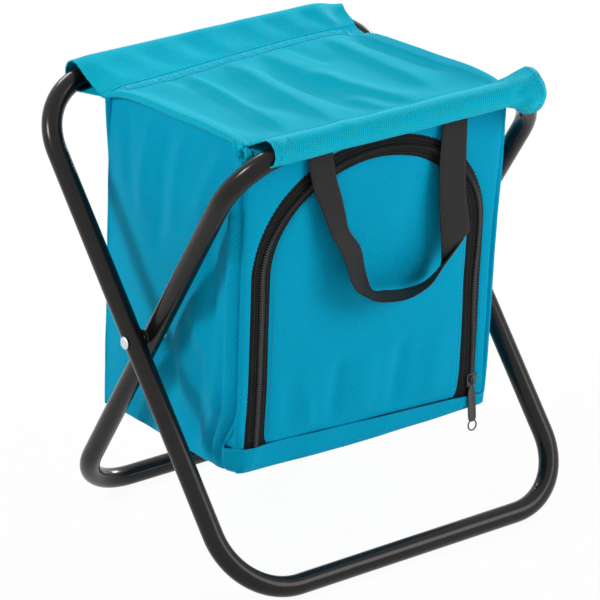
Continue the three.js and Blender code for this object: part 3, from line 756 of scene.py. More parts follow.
class STOOL_OT_stage(StoolPiece, Operator):
    """Floor, light and camera"""
    bl_idname = "stool.stage"
    bl_label = "Stage"

    def execute(self, context):
        scene = context.scene
        scene.view_settings.view_transform = "Standard"
        self.floor()
        self.world(scene)
        for lamp in LAMPS:
            self.lamp(*lamp)
        data = bpy.data.cameras.new("photo camera")
        data.sensor_width = 36.0
        data.lens = 221.93
        data.clip_end = 60.0
        scene.camera = self.placed("photo camera", data, CAMERA_RIGHT, CAMERA_UP, CAMERA_BACK, CAMERA_PLACE)
        return {"FINISHED"}

    def placed(self, name, data, side, up, back, place):
        """A lamp or camera by its three axes and its place"""
        made = bpy.data.objects.new(name, data)
        made.matrix_world = Matrix(list(zip(side, up, back, place)) + [(0, 0, 0, 1)])
        bpy.context.scene.collection.objects.link(made)
        return made

    def seen(self, tree):
        """One for the rays that see the backdrop, straight or in a reflection"""
        path = node(tree, "ShaderNodeLightPath")
        either = calc(tree, "MAXIMUM", path.outputs["Is Camera Ray"], path.outputs["Is Glossy Ray"])
        return calc(tree, "MAXIMUM", either, path.outputs["Is Transmission Ray"])

    def mixed(self, tree, output, factor, first, second):
        both = node(tree, "ShaderNodeMixShader", {0: factor, 1: first.outputs[0], 2: second.outputs[0]})
        node(tree, output, {"Surface": both.outputs[0]})

    def floor(self):
        made, tree = empty_material("pale studio floor")
        matt = node(tree, "ShaderNodeBsdfDiffuse", {"Color": (0.93, 0.93, 0.93, 1)})
        glow = node(tree, "ShaderNodeEmission", {"Color": WHITE, "Strength": 1.0})
        share = calc(tree, "MULTIPLY", self.seen(tree), 0.95)
        self.mixed(tree, "ShaderNodeOutputMaterial", share, matt, glow)
        mesh = bpy.data.meshes.new("studio_floor")
        h = FLOOR_HALF
        mesh.from_pydata([(-h, -h, 0), (h, -h, 0), (h, h, 0), (-h, h, 0)], [], [(0, 1, 2, 3)])
        mesh.materials.append(made)
        floor = bpy.data.objects.new("studio_floor", mesh)
        floor.location.z = -FLOOR_DROP
        bpy.context.scene.collection.objects.link(floor)

    def world(self, scene):
        scene.world = scene.world or bpy.data.worlds.new("studio")
        scene.world.use_nodes = True
        tree = scene.world.node_tree
        tree.nodes.clear()
        lit = node(tree, "ShaderNodeBackground", {"Color": WHITE, "Strength": 0.14})
        white = node(tree, "ShaderNodeBackground", {"Color": WHITE, "Strength": 1.0})
        self.mixed(tree, "ShaderNodeOutputWorld", self.seen(tree), lit, white)

    def lamp(self, name, place, target, size, power):
        data = bpy.data.lights.new(name, "AREA")
        data.size = size
        data.energy = power
        back = unit(np.array(place) - np.array(target))
        side = unit(np.cross(LAMP_UP, back))
        self.placed(name, data, side, np.cross(back, side), back, place)


TUBE_SIDES = 44
BEND_STEPS = 25


class STOOL_OT_frame_tubes(StoolPiece, Operator):
    """The two bent tube loops"""
    bl_idname = "stool.frame_tubes"
    bl_label = "Frame tubes"

    def execute(self, context):
        s = sizes()
        for name, half, lean in (("outer_frame", s.outer_half, 1), ("inner_frame", s.inner_half, -1)):
            path, side, up = self.loop(s, half, lean)
            ring = circle(TUBE_SIDES) * s.tube_diameter / 2
            made = sweep_piece(name + "_loop", path, side, up, ring, "paint", loop=True)
            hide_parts(name + "_tube")
            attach(made, name)
        return {"FINISHED"}

    def loop(self, s, half, lean):
        r = s.bend_radius
        top, low = s.leg_above, -s.leg_below
        corners = [(half - r, top - r, 0), (r - half, top - r, 90),
                   (r - half, low + r, 180), (half - r, low + r, 270)]
        points = []
        for a, b, start in corners:
            turn = np.radians(np.linspace(start, start + 90, BEND_STEPS))
            points.append(np.stack([a + r * np.cos(turn), b + r * np.sin(turn)], axis=-1))
        flat = np.concatenate(points)
        flat = resample(np.concatenate([flat, flat[:1]]), spacing=4.0)[:-1]
        leg = np.array([0.0, lean * math.sin(s.open_angle), math.cos(s.open_angle)])
        wide = np.array([1.0, 0.0, 0.0])
        path = np.array([0, 0, s.pivot_height]) + flat[:, :1] * wide + flat[:, 1:] * leg
        run = unit(np.roll(path, -1, axis=0) - np.roll(path, 1, axis=0))
        face = np.broadcast_to(np.cross(wide, leg), path.shape)
        return path, np.cross(face, run), face


# Rivet outline: distance out from an end, and radius
RIVET_HEAD = [(0, 0.3), (-0.05, 1.2), (-0.12, 2.3), (-0.42, 3.3), (-0.85, 4.15), (-1.3, 4.75),
              (-1.6, 5.0), (-1.82, 4.95), (-1.85, 2.5)]
RIVET_TAIL = [(1.6, 2.5), (1.55, 3.8), (1.2, 4.0), (0.6, 3.6), (0.25, 2.6), (0.2, 1.8),
              (0.7, 1.5), (0.8, 0.3)]


class STOOL_OT_pivots(StoolPiece, Operator):
    """Rivets and washers at the crossing of the tubes"""
    bl_idname = "stool.pivots"
    bl_label = "Pivots"

    def execute(self, context):
        for name, outside in SIDES:
            low, high = (np.array(c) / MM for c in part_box(name + "_pivot_rivet"))
            outer, inner = (high[0], low[0]) if outside == 1 else (low[0], high[0])
            stations = [outer + outside * x for x, _ in RIVET_HEAD]
            stations += [inner + outside * x for x, _ in RIVET_TAIL]
            radii = [r for _, r in RIVET_HEAD + RIVET_TAIL]
            shape, faces = lathe_form(stations, radii, 40)
            shape = shape + np.array([0, 0, sizes().pivot_height])
            made = new_piece(name + "_rivet", shape, faces, "zinc", sharp=55)
            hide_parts(name + "_pivot_rivet")
            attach(made, "pivots")
            dress_node(name + "_pivot_washer", "nylon", 0.15)
        return {"FINISHED"}


def dress_node(name, look, bevel):
    """A CAD piece kept as it is, with its finish and softened edges"""
    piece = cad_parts[name]
    for place in piece.material_slots:
        place.material = finish(look)
    soft = piece.modifiers.new("soft edges", "BEVEL")
    soft.width = bevel * MM
    soft.segments = 3
    soft.limit_method = "ANGLE"
    soft.angle_limit = math.radians(35)


SEAT_FRONT = -104.0
# Section of a side hem: distance out from the seat's edge, and height
HEM_OUTLINE = [(-7.0, -0.2), (-6.6, 0.75), (-4.5, 1.15), (-1.0, 1.35), (0.9, 1.1), (1.6, 0.2),
               (1.5, -1.2), (0.6, -2.0), (-0.6, -2.1), (-1.0, -1.3), (-3.5, -1.25), (-6.5, -1.2)]


class STOOL_OT_seat(StoolPiece, Operator):
    """Seat sheet with its folded side hems"""
    bl_idname = "stool.seat"
    bl_label = "Seat"

    def execute(self, context):
        s = sizes()
        t = np.linspace(0, 1, 97)[:, None]
        w = np.linspace(-1, 1, 105)[None, :]
        back = flap_seam(w * s.seat_half) + 2.0
        y = SEAT_FRONT + t * (back - SEAT_FRONT)
        x = w * seat_edge(s, y)
        points = stack(x, y, seat_height(s, x, y))
        cloth = halves("seat", points, stack(x, y), s.cloth, "seat", "seat_panel", inward=1.0)
        hems = {"front": [], "back": []}
        for name, hand in SIDES:
            self.hem(s, name, hand, points, hems)
        hems["front"].append(self.tuck(s, split_row(points)[1]))
        return {"FINISHED"}

    def tuck(self, s, depth):
        """Crumpled end of the side seam, gathered against the front sleeve's left mouth"""
        t = np.linspace(0, 1, 61)[:, None]
        w = np.linspace(0, 1, 19)[None, :]
        pleat = np.sin(t * 5.2 * math.pi + 1.1 * w) * (0.5 + 0.7 * w) * smooth(t * 6)
        x = -119.2 - 1.0 * np.sin(w * math.pi) - 2.0 * pleat + ripple(t * 30, w * 20, 14, 0.9, 83)
        y = -88.5 - 20.0 * t + 1.6 * np.sin(w * 5 + t * 9)
        z = 348.0 - 1.0 * t - (8.0 + 5.0 * np.sin(t * math.pi)) * w + 0.9 * np.sin(t * 23 + w * 3)
        points = stack(x, y, z)
        made = sheet_piece("front_left_tuck", points, stack(t * 40, w * 14), s.cloth, "sleeve", inward=1.0)
        ride_half(made)
        return made

    def hem(self, s, name, hand, seat, hems):
        """Cloth turned over twice along the side, with its stitch row"""
        row, depth = split_row(seat)
        edge, inside = (seat[:, 0], seat[:, 3]) if hand < 0 else (seat[:, -1], seat[:, -4])
        run = unit(np.gradient(edge, axis=0))
        out = unit(edge - inside) * np.array([1.0, 1.0, 0.0 if hand < 0 else 1.0])
        out = square_to(run, out)
        up = unit(np.cross(out, run))
        up = up * np.sign(up[:, 2:])
        ends = np.linspace(-1, 1, len(edge))
        lift = (1.8 if hand < 0 else 0.8) * (1.0 - 0.4 * ends**4)
        profile = np.array(HEM_OUTLINE) * stack(1.0, lift)[:, None]
        for half, part in half_rows(row):
            made = sweep_piece(f"{name}_hem_{half}", edge[part], out[part], up[part], profile[part], "sleeve")
            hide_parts(name + "_seat_hem")
            ride_half(made)
            line = edge[part] - out[part] * 5.6 + up[part] * 1.12
            stitches = stitch_row(f"{name}_hem_stitches_{half}", line[2:-2], up[part][2:-2])
            ride_half(stitches)
            hems[half] += [made, stitches]


def teardrop(centre, radius, tail, counts):
    """Open outline from the tail over the bar and back under it, a towards the seat and b up"""
    c, t = np.asarray(centre, dtype=float), np.asarray(tail, dtype=float)
    away = t - c
    far = max(np.linalg.norm(away), radius * 1.01)
    face = math.atan2(away[1], away[0])
    half = math.acos(min(1.0, radius / far))
    tip = c + far * np.array([math.cos(face), math.sin(face)])
    turn = np.linspace(face + half, face + math.tau - half, counts[1])
    arc = c + radius * np.stack([np.cos(turn), np.sin(turn)], axis=-1)
    over = tip + (arc[0] - tip) * np.linspace(0, 1, counts[0], endpoint=False)[:, None]
    under = arc[-1] + (tip - arc[-1]) * np.linspace(0, 1, counts[2] + 1)[1:, None]
    return np.concatenate([over, arc, under])


# Points of the rear sleeve's section that are flap and not tunnel, and the lap that is sewn on the seat
FLAP_CUT = 14
FLAP_LAP = 11.0
REAR_SLEEVE_FOLDS = [
    (-92, 0, -112, 40, 7, 1.8), (-62, 0, -84, 44, 8, 1.9), (-24, 0, -46, 40, 8, 1.8),
    (12, 0, -8, 40, 8, 1.7), (52, 0, 32, 38, 8, 1.9), (88, 0, 70, 34, 7, 1.8),
    (122, 0, 104, 30, 6, 1.8), (70, 0, 52, 30, 5, -1.2), (-6, 0, -26, 34, 6, -1.2),
    (-44, 0, -64, 34, 6, -1.2), (106, 0, 88, 30, 5, -1.3),
]


class STOOL_OT_rear_sleeve(StoolPiece, Operator):
    """Loose cloth tunnel over the rear bar and its sewn flap"""
    bl_idname = "stool.rear_sleeve"
    bl_label = "Rear sleeve"

    def execute(self, context):
        s = sizes()
        x = np.linspace(-119.5, 140.0, 190)
        loose = smooth((-100 - x) / 19)
        rows = []
        for at, slack in zip(x, loose):
            drop = max(0.0, abs(at) - 103.0)
            fall = s.bend_radius - math.sqrt(max(s.bend_radius**2 - drop**2, 0.0))
            right = smooth((at - 104) / 30)
            centre = (fall * math.sin(s.open_angle) * 0.6, 2.2 - 1.4 * right - 0.6 * slack)
            tail = (s.bar_reach - float(flap_seam(at)) - 3.0, -0.6 - 5.4 * slack)
            rows.append(teardrop(centre, s.sleeve_radius + 2.5 - 0.6 * right, tail, (22, 40, 20)))
        section = np.array(rows)
        points = stack(x[:, None], s.bar_reach - section[..., 0], s.bar_height + section[..., 1])
        around = lengths(points)
        over = smooth(around / 10) * smooth((0.42 * around[:, -1:] - around) / 14)
        puff = 0.4 * soft_folds(x[:, None], around, REAR_SLEEVE_FOLDS)
        puff = puff + ripple(x[:, None], around, 60, 0.7, 11)
        puff = puff - 1.0 * np.sin(np.clip(around / 34, 0, 1) * math.pi) + 0.8
        points = points + surface_normals(points) * (puff * over)[..., None]
        slant = np.clip(section[..., 0] / 29, 0, 1) * smooth((x[:, None] - 96) / 42)
        rounded = smooth(section[..., 1] / 12) * smooth((x[:, None] - 112) / 28)
        points[..., 0] -= 12.5 * slant + 5.0 * rounded
        points[..., 2] -= 1.4 * rounded
        uv = stack(x[:, None], around)
        tunnel = slice(FLAP_CUT, 1 - FLAP_CUT)
        self.tunnel(s, points[:, tunnel], uv[:, tunnel])
        self.flap(s, points, uv, x)
        return {"FINISHED"}

    def tunnel(self, s, points, uv):
        made = sheet_piece("rear_sleeve_cloth", points, uv, s.cloth, "sleeve")
        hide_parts("rear_sleeve")
        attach(made, "outer_frame")
        row = stitch_row("rear_sleeve_end_stitches", points[2][4:-8] + np.array([3.0, 0, 0]),
                         surface_normals(points)[2][4:-8], stitch=2.6)
        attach(row, "outer_frame")

    def flap(self, s, points, uv, x):
        """Both layers from the bar to the seam, and the edge that lies sewn on the seat"""
        cut = FLAP_CUT
        over = points[:, :cut + 1][:, ::-1]
        edge = over[:, -1, 0]
        steps = np.linspace(0.0, FLAP_LAP, 8)[1:]
        lap = []
        for step in steps:
            y = over[:, -1, 1] - step
            inside = np.clip(edge, -seat_edge(s, y), seat_edge(s, y))
            level = seat_height(s, inside, y) + 0.5 + 0.4 * math.sin(step / FLAP_LAP * math.pi)
            pucker = np.sin(edge * math.tau / 6.4 + 1.4 * np.sin(edge / 19.0))
            level = level + 0.32 * pucker * hump(step, FLAP_LAP / 2, 4.0)
            t = smooth(step / 4.0)
            lap.append(stack(edge, y, over[:, -1, 2] * (1 - t) + level * t))
        over = np.concatenate([over, np.stack(lap, axis=1)], axis=1)
        sewn = np.broadcast_to(-steps, (len(x), len(steps)))
        along = np.concatenate([uv[:, :cut + 1, 1][:, ::-1], sewn], axis=1)
        top = sheet_piece("rear_flap", over, stack(x[:, None], along), 0.9 * s.cloth, "sleeve", inward=1.0)
        low = sheet_piece("rear_under_flap", points[:, -cut:], uv[:, -cut:], 0.9 * s.cloth, "sleeve")
        rows = []
        for number, step in enumerate((4, 6)):
            line = over[3:-3, cut + step] + np.array([0, 0, 0.12])
            rows.append(stitch_row(f"rear_flap_stitches_{number + 1}", line, np.array([0.0, 0.1, 1.0])))
        for piece in [top, low] + rows:
            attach(piece, "outer_frame")
            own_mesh(piece)
        for piece in (top, low):
            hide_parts("rear_sleeve")


FRONT_SLEEVE_FOLDS = [
    (98, 16, 134, 26, 4, 1.7), (98, 44, 134, 36, 4, -1.9), (100, 60, 134, 50, 4, 1.6),
    (100, 4, 134, 14, 4, -1.2), (-116, 20, -96, 24, 4, 0.6), (-60, 18, -40, 40, 6, 0.5),
]


class STOOL_OT_front_sleeve(StoolPiece, Operator):
    """Cloth tunnel round the front bar, with its wide loose right end"""
    bl_idname = "stool.front_sleeve"
    bl_label = "Front sleeve"

    def execute(self, context):
        s = sizes()
        x = np.concatenate([np.linspace(-117.0, 84.0, 84), np.linspace(84.0, 132.0, 37)[1:]])
        bell = 0.5 * smooth((x - 98) / 34) + 0.5 * np.clip((x - 99) / 33, 0, 1)
        rows = []
        for at, wide in zip(x, bell):
            left = smooth((-98 - at) / 18)
            drop = smooth((at - 106) / 15)
            centre = (8.6 * wide, -1.6 * wide - 3.0 * drop + 0.8 * left)
            radius = s.sleeve_radius + 5.6 * wide + 2.2 * drop + 0.9 * left - 0.9 * smooth((at - 128) / 4)
            height = float(seat_height(s, np.clip(at, -117.0, 117.0), -98.0)) + 0.8 - s.bar_height
            tail = (max(s.bar_reach - 98.0, centre[0] + 1.02 * radius), height * (1 - wide) - 3.0 * wide)
            rows.append(teardrop(centre, radius, tail, (16, 44, 12)))
        section = np.array(rows)
        points = stack(x[:, None], section[..., 0] - s.bar_reach, s.bar_height + section[..., 1])
        around = lengths(points)
        inside = smooth(around / 7) * smooth((around[:, -1:] - around) / 7)
        puff = soft_folds(x[:, None], around, FRONT_SLEEVE_FOLDS) + ripple(x[:, None], around, 50, 0.45, 23)
        points = points - surface_normals(points) * (puff * inside)[..., None]
        slant = 2.4 * np.sin(np.clip((section[..., 1] + 18) / 36, 0, 1) * math.pi / 2) * bell[:, None]
        points[..., 0] += slant - 1.5 * bell[:, None]
        uv = stack(x[:, None], around)
        made = sheet_piece("front_sleeve_cloth", points, uv, s.cloth, "sleeve", inward=1.0)
        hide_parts("front_sleeve")
        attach(made, "inner_frame")
        normal = -surface_normals(points)
        rows = []
        for name, at in (("right", -5), ("left", 2)):
            line = points[at][6:-6] + normal[at][6:-6] * 0.1
            rows.append(stitch_row(f"front_sleeve_{name}_stitches", line, normal[at][6:-6], stitch=2.6))
        line, up = points[7][20:29], normal[7][20:29]
        rows.append(stitch_row("front_sleeve_tack", line + up * 0.12, up, stitch=2.0, gap=0.5, radius=0.45))
        for row in rows:
            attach(row, "inner_frame")
        return {"FINISHED"}


# Points on each straight leg of an arch line, and over its arch
ARCH_LEGS, ARCH_TURNS = 40, 64
ZIP_LEGS, ZIP_TURNS = 60, 90


def arch_line(s, left, right, top, foot_left, foot_right, legs=ARCH_LEGS, turns=ARCH_TURNS):
    """Line up the left side, over the arch and down the right side"""
    middle, half = (left + right) / 2, (right - left) / 2
    turn = np.linspace(math.pi, 0, turns)
    over = np.stack([middle + half * np.cos(turn), s.arch_base + (top - s.arch_base) * np.sin(turn)], axis=-1)
    rise = np.linspace(foot_left, s.arch_base, legs, endpoint=False)
    up = np.stack([left - leg_lean(rise), rise], axis=-1)
    down = np.stack([np.full(legs, right), np.linspace(s.arch_base, foot_right, legs + 1)[1:]], axis=-1)
    return np.concatenate([up, over, down])


def square_top(s, edge, top):
    """Line that goes round an arch with square corners, point for point"""
    corners = [(-edge, s.arch_base), (-edge, top), (edge, top), (edge, s.arch_base)]
    return resample(corners, count=ARCH_TURNS)


def leg_lean(v):
    """The zip's left leg stands wider at its foot"""
    return 1.6 * smooth((70 - v) / 60)


def band_seam(u):
    """Height of the seam between the door and the band at the foot"""
    return np.interp(u, [-124, -112, -60, -20, 70, 112, 122], [18.4, 17.8, 15.4, 12.8, 7.6, 4.2, 3.8])


def bag_foot_line(u):
    """Lower edge of the front, which sags between the corners"""
    return np.interp(u, [-140, -124, -110, -20, 60, 114, 122], [-3.4, -1.8, -2.8, -6.4, -6.6, -5.6, -4.0])


FRONT_TOP = 253.4
# Left side, right side and top of the door cloth, and of the opening that the zip lies in
DOOR = (-96.0, 87.0, 229.0)
OPENING = (-111.5, 102.0, 245.0)
BAG_FRONT_FOLDS = [
    (54, 232, 20, 116, 15, -2.2), (-44, 226, -64, 126, 14, -1.8), (2, 214, -14, 90, 22, 1.8),
    (-30, 74, -38, -2, 6, -3.0), (30, 78, 20, 0, 7, -2.8), (-4, 72, -10, 2, 12, 2.2),
    (-74, 74, -76, 4, 8, -2.0), (66, 80, 58, 0, 11, 2.0), (80, 190, 74, 110, 9, 1.2),
    (-60, 50, -54, 2, 5, 2.2),
]
CORNER_CRUSH = [(-124, 64, -129, 22, 4.0, -2.6), (-118, 70, -121, 26, 3.0, 2.2)]
BAND_CRUSH = [
    (-128, 24, -131, -4, 3.5, 3.0), (-120, 22, -121, -4, 2.6, -2.6),
    (-135, 18, -137, -4, 2.6, -2.0), (-106, 20, -112, -2, 5.0, 1.4),
]


def front_swell(u, v):
    """How far the front stands out between its seams"""
    side = np.clip(1 - (u / 119.0) ** 4, 0, 1)
    rise = smooth((v + 6) / 40) * smooth((262 - v) / 50)
    clear = smooth((v - band_seam(u) - 2) / 16)
    return 3.2 * side * rise + soft_folds(u, v, BAG_FRONT_FOLDS) * clear + ripple(u, v, 90, 0.7, 31)


class STOOL_OT_front_wall(StoolPiece, Operator):
    """Front wall round the door, the band at its foot and the four corner seams"""
    bl_idname = "stool.front_wall"
    bl_label = "Front wall"

    def execute(self, context):
        s = sizes()
        self.wall(s)
        self.band(s)
        for name, side, depth in (("front_left", -1, 0.0), ("front_right", 1, 0.0),
                                  ("back_left", -1, s.bag_depth), ("back_right", 1, s.bag_depth)):
            self.corner(s, name, side, depth)
        return {"FINISHED"}

    def wall(self, s):
        left, right, top = OPENING
        legs, edge = ARCH_LEGS, s.bag_half
        inner = arch_line(s, left, right, top, 0.0, 0.0)
        outer = inner.copy()
        for line, low, high in ((inner, left, right), (outer, -130, 121)):
            line[:legs, 1] = np.linspace(float(band_seam(low)), s.arch_base, legs, endpoint=False)
            line[-legs:, 1] = np.linspace(s.arch_base, float(band_seam(high)), legs + 1)[1:]
        outer[legs:-legs] = square_top(s, edge, FRONT_TOP)
        for side in (-1, 1):
            along = np.where(outer[:, 0] * side > edge - 30)[0]
            on_leg = (along < legs) | (along >= len(outer) - legs)
            part = along[(np.abs(outer[along, 0]) > edge - 0.01) | on_leg]
            outer[part, 0] = unrolled(side, outer[part, 1], corner_wrap(side, outer[part, 1]))
        p, v, t = between(inner, outer, np.linspace(0, 1, 31))
        tuck = -1.6 * np.exp(-t * 9)
        tuck = tuck - np.where(p < 0, 3.4 * smooth((v - 12) / 12), 0.8) * np.exp(-(1 - t) * 14)
        crush = soft_folds(p, v, CORNER_CRUSH)
        seam = p - front_corner(1, v) + np.interp(v, [0, 40, 120, 200, 258], [2.5, 5.0, 6.0, 3.5, 2.5])
        crush = crush - 1.7 * hump(seam, 0.0, 1.1) + 1.1 * hump(seam, 2.6, 1.5)
        out = front_swell(p, v) * 0.75 * smooth((119 - np.abs(p)) / 10) + tuck + 0.4 + crush
        points = front_point(s, p, v, out)
        made = sheet_piece("front_wall_cloth", points, stack(p, v), s.cloth, "wall")
        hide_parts("front_wall")
        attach(made, "bag_front")
        line = points[2:-2, 1] + wall_out(s) * 0.1
        row = stitch_row("front_wall_zip_stitches", line, wall_out(s), stitch=2.4, radius=0.26)
        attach(row, "bag_front")

    def band(self, s):
        w = np.linspace(0, 1, 126)[:, None]
        t = np.linspace(0, 1, 17)[None, :]
        rise = np.clip(t * 1.25 - 0.25, 0, 1)
        under = np.clip(1 - t * 5, 0, 1)
        guess = -139.0 + w * 257.0
        v = bag_foot_line(guess) + (band_seam(guess) - bag_foot_line(guess)) * rise
        low = unrolled(-1, v, corner_wrap(-1, v) - 0.4)
        high = unrolled(1, v, corner_wrap(1, v) - 0.4)
        p = low + w * (high - low)
        swell = 2.7 * smooth(rise * 2.2) * (1 - 0.25 * rise) * smooth((high - p) / 16) + 0.5
        swell = swell + ripple(p, v, 42, 1.1, 41) * smooth(t * 3)
        swell = swell + soft_folds(p, v, BAND_CRUSH) * smooth(t * 3)
        points = front_point(s, p, v - 0.8 * under, swell - 8.0 * under)
        made = sheet_piece("front_band_cloth", points, stack(p, v - 9 * under), s.cloth, "wall")
        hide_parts("front_band")
        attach(made, "bag_front")
        line = points[4:-4, -2] + wall_out(s) * 0.1
        row = stitch_row("front_band_stitches", line, wall_out(s), stitch=2.6, radius=0.26)
        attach(row, "bag_front")

    def corner(self, s, name, side, depth):
        """Seam allowance standing at the corner as a thin folded ridge"""
        gathered = side < 0 and not depth
        v = np.linspace(0.0 if gathered else -2.0, 256.0, 110)
        wave = 0.4 * np.sin(v / 17.0 + side) + 0.3 * np.sin(v / 7.3 + depth)
        if depth:
            x, back = rear_corner(v), depth + 0.4
            out = stack(0.6 * side, 0.8, 0 * v)
        else:
            wrap = corner_wrap(side, v)
            x, back = front_corner(side, v) + (0.2 if side > 0 else -3.0), wrap - 1.0
            turned = smooth((wrap - 1.5) / 5)
            out = stack(side * (0.62 + 0.38 * turned), -0.78 * (1 - turned), 0 * v)
        path = bag_point(s, side * (x + 0.4 * wave), back, v)
        run = unit(np.gradient(path, axis=0))
        out = square_to(run, out)
        over = np.cross(run, out)
        ring = circle(14) * (1.8, 1.1) + (0.4, 0.0)
        gather = smooth((56 - v) / 34) * smooth((v + 8) / 12) if gathered else 0 * v
        ring = ring * (1 + stack(0.7 * gather, 2.2 * gather)[:, None])
        made = sweep_piece(name + "_corner_seam", path, out, over, ring, "wall")
        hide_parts(name + "_piping")
        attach(made, "bag_back" if depth else "bag_front")


class STOOL_OT_door(StoolPiece, Operator):
    """Door flap inside the zip"""
    bl_idname = "stool.door"
    bl_label = "Door"

    def execute(self, context):
        s = sizes()
        u, v = door_grid(s, DOOR, 0.6)
        edge = np.minimum(u - u[:, :1], u[:, -1:] - u)
        rim = np.minimum(edge, np.maximum(0.0, DOOR[2] - v))
        tuck = -1.5 * np.exp(-rim / 3.0) - 1.4 * np.exp(-(v - band_seam(u)) / 2.5)
        points = wall_point(s, u, v, front_swell(u, v) + tuck + 0.3)
        made = sheet_piece("door_flap_cloth", points, stack(u, v), s.cloth, "wall", inward=1.0)
        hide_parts("door_flap")
        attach(made, "door")
        outline = np.concatenate([points[2:, 1], points[::-1, -2][:-2]])
        row = stitch_row("door_zip_stitches", outline + wall_out(s) * 0.15, wall_out(s), stitch=2.4)
        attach(row, "door")
        return {"FINISHED"}


DOOR_LEGS, DOOR_TURNS = 46, 40


def door_grid(s, outline, gap, cols=57):
    """Rows across the door, closer together towards the top of the arch"""
    left, right, top = outline
    middle, half = (left + right) / 2, (right - left) / 2
    w = np.linspace(-1, 1, cols)[None, :]
    turn = np.radians(np.linspace(0, 88, DOOR_TURNS))[1:, None]
    rows_u = np.concatenate([np.full((DOOR_LEGS, 1), half), half * np.cos(turn)])
    u = middle + w * rows_u
    foot = band_seam(u[:DOOR_LEGS]) + gap
    t = np.linspace(0, 1, DOOR_LEGS)[:, None]
    legs = foot + t * (s.arch_base - foot)
    over = np.broadcast_to(s.arch_base + (top - s.arch_base) * np.sin(turn), (len(turn), cols))
    v = np.concatenate([legs, over])
    return u - np.clip(-w, 0, 1) * leg_lean(v), v


# The pull: drop, radius, bar and flatness of its eye and ring, then the tab's stations and its section
PULL_RINGS = (("eye", 1.6, 2.0, 0.75, 0.8), ("ring", 36.4, 3.9, 0.62, 0.9))
TAB_DROPS = np.array([3.0, 3.6, 5.0, 7.0, 9.0, 14.0, 20.0, 26.0, 30.0, 31.6, 32.6, 33.2])
TAB_HALVES = np.array([1.0, 1.7, 2.6, 3.2, 3.5, 3.65, 3.7, 3.7, 3.6, 3.3, 2.6, 1.6])
TAB_OUTLINE = np.array([
    (-1, -0.5), (-0.93, -0.75), (-0.8, -0.8), (-0.68, -0.55), (0.68, -0.55), (0.8, -0.8),
    (0.93, -0.75), (1, -0.5), (1, 0.5), (0.93, 0.7), (0.8, 0.8), (0.68, 0.55),
    (-0.68, 0.55), (-0.8, 0.8), (-0.93, 0.7), (-1, 0.5),
])
TOOTH_STATIONS = (-1.4, -1.25, -0.5, 0.6, 1.15, 1.4)
TOOTH_RADII = (0.2, 0.42, 0.5, 0.52, 0.58, 0.3)
TAPE_THICK = 0.6
# Share of the bag front's swell that the zip follows
ZIP_SWELL = 0.72


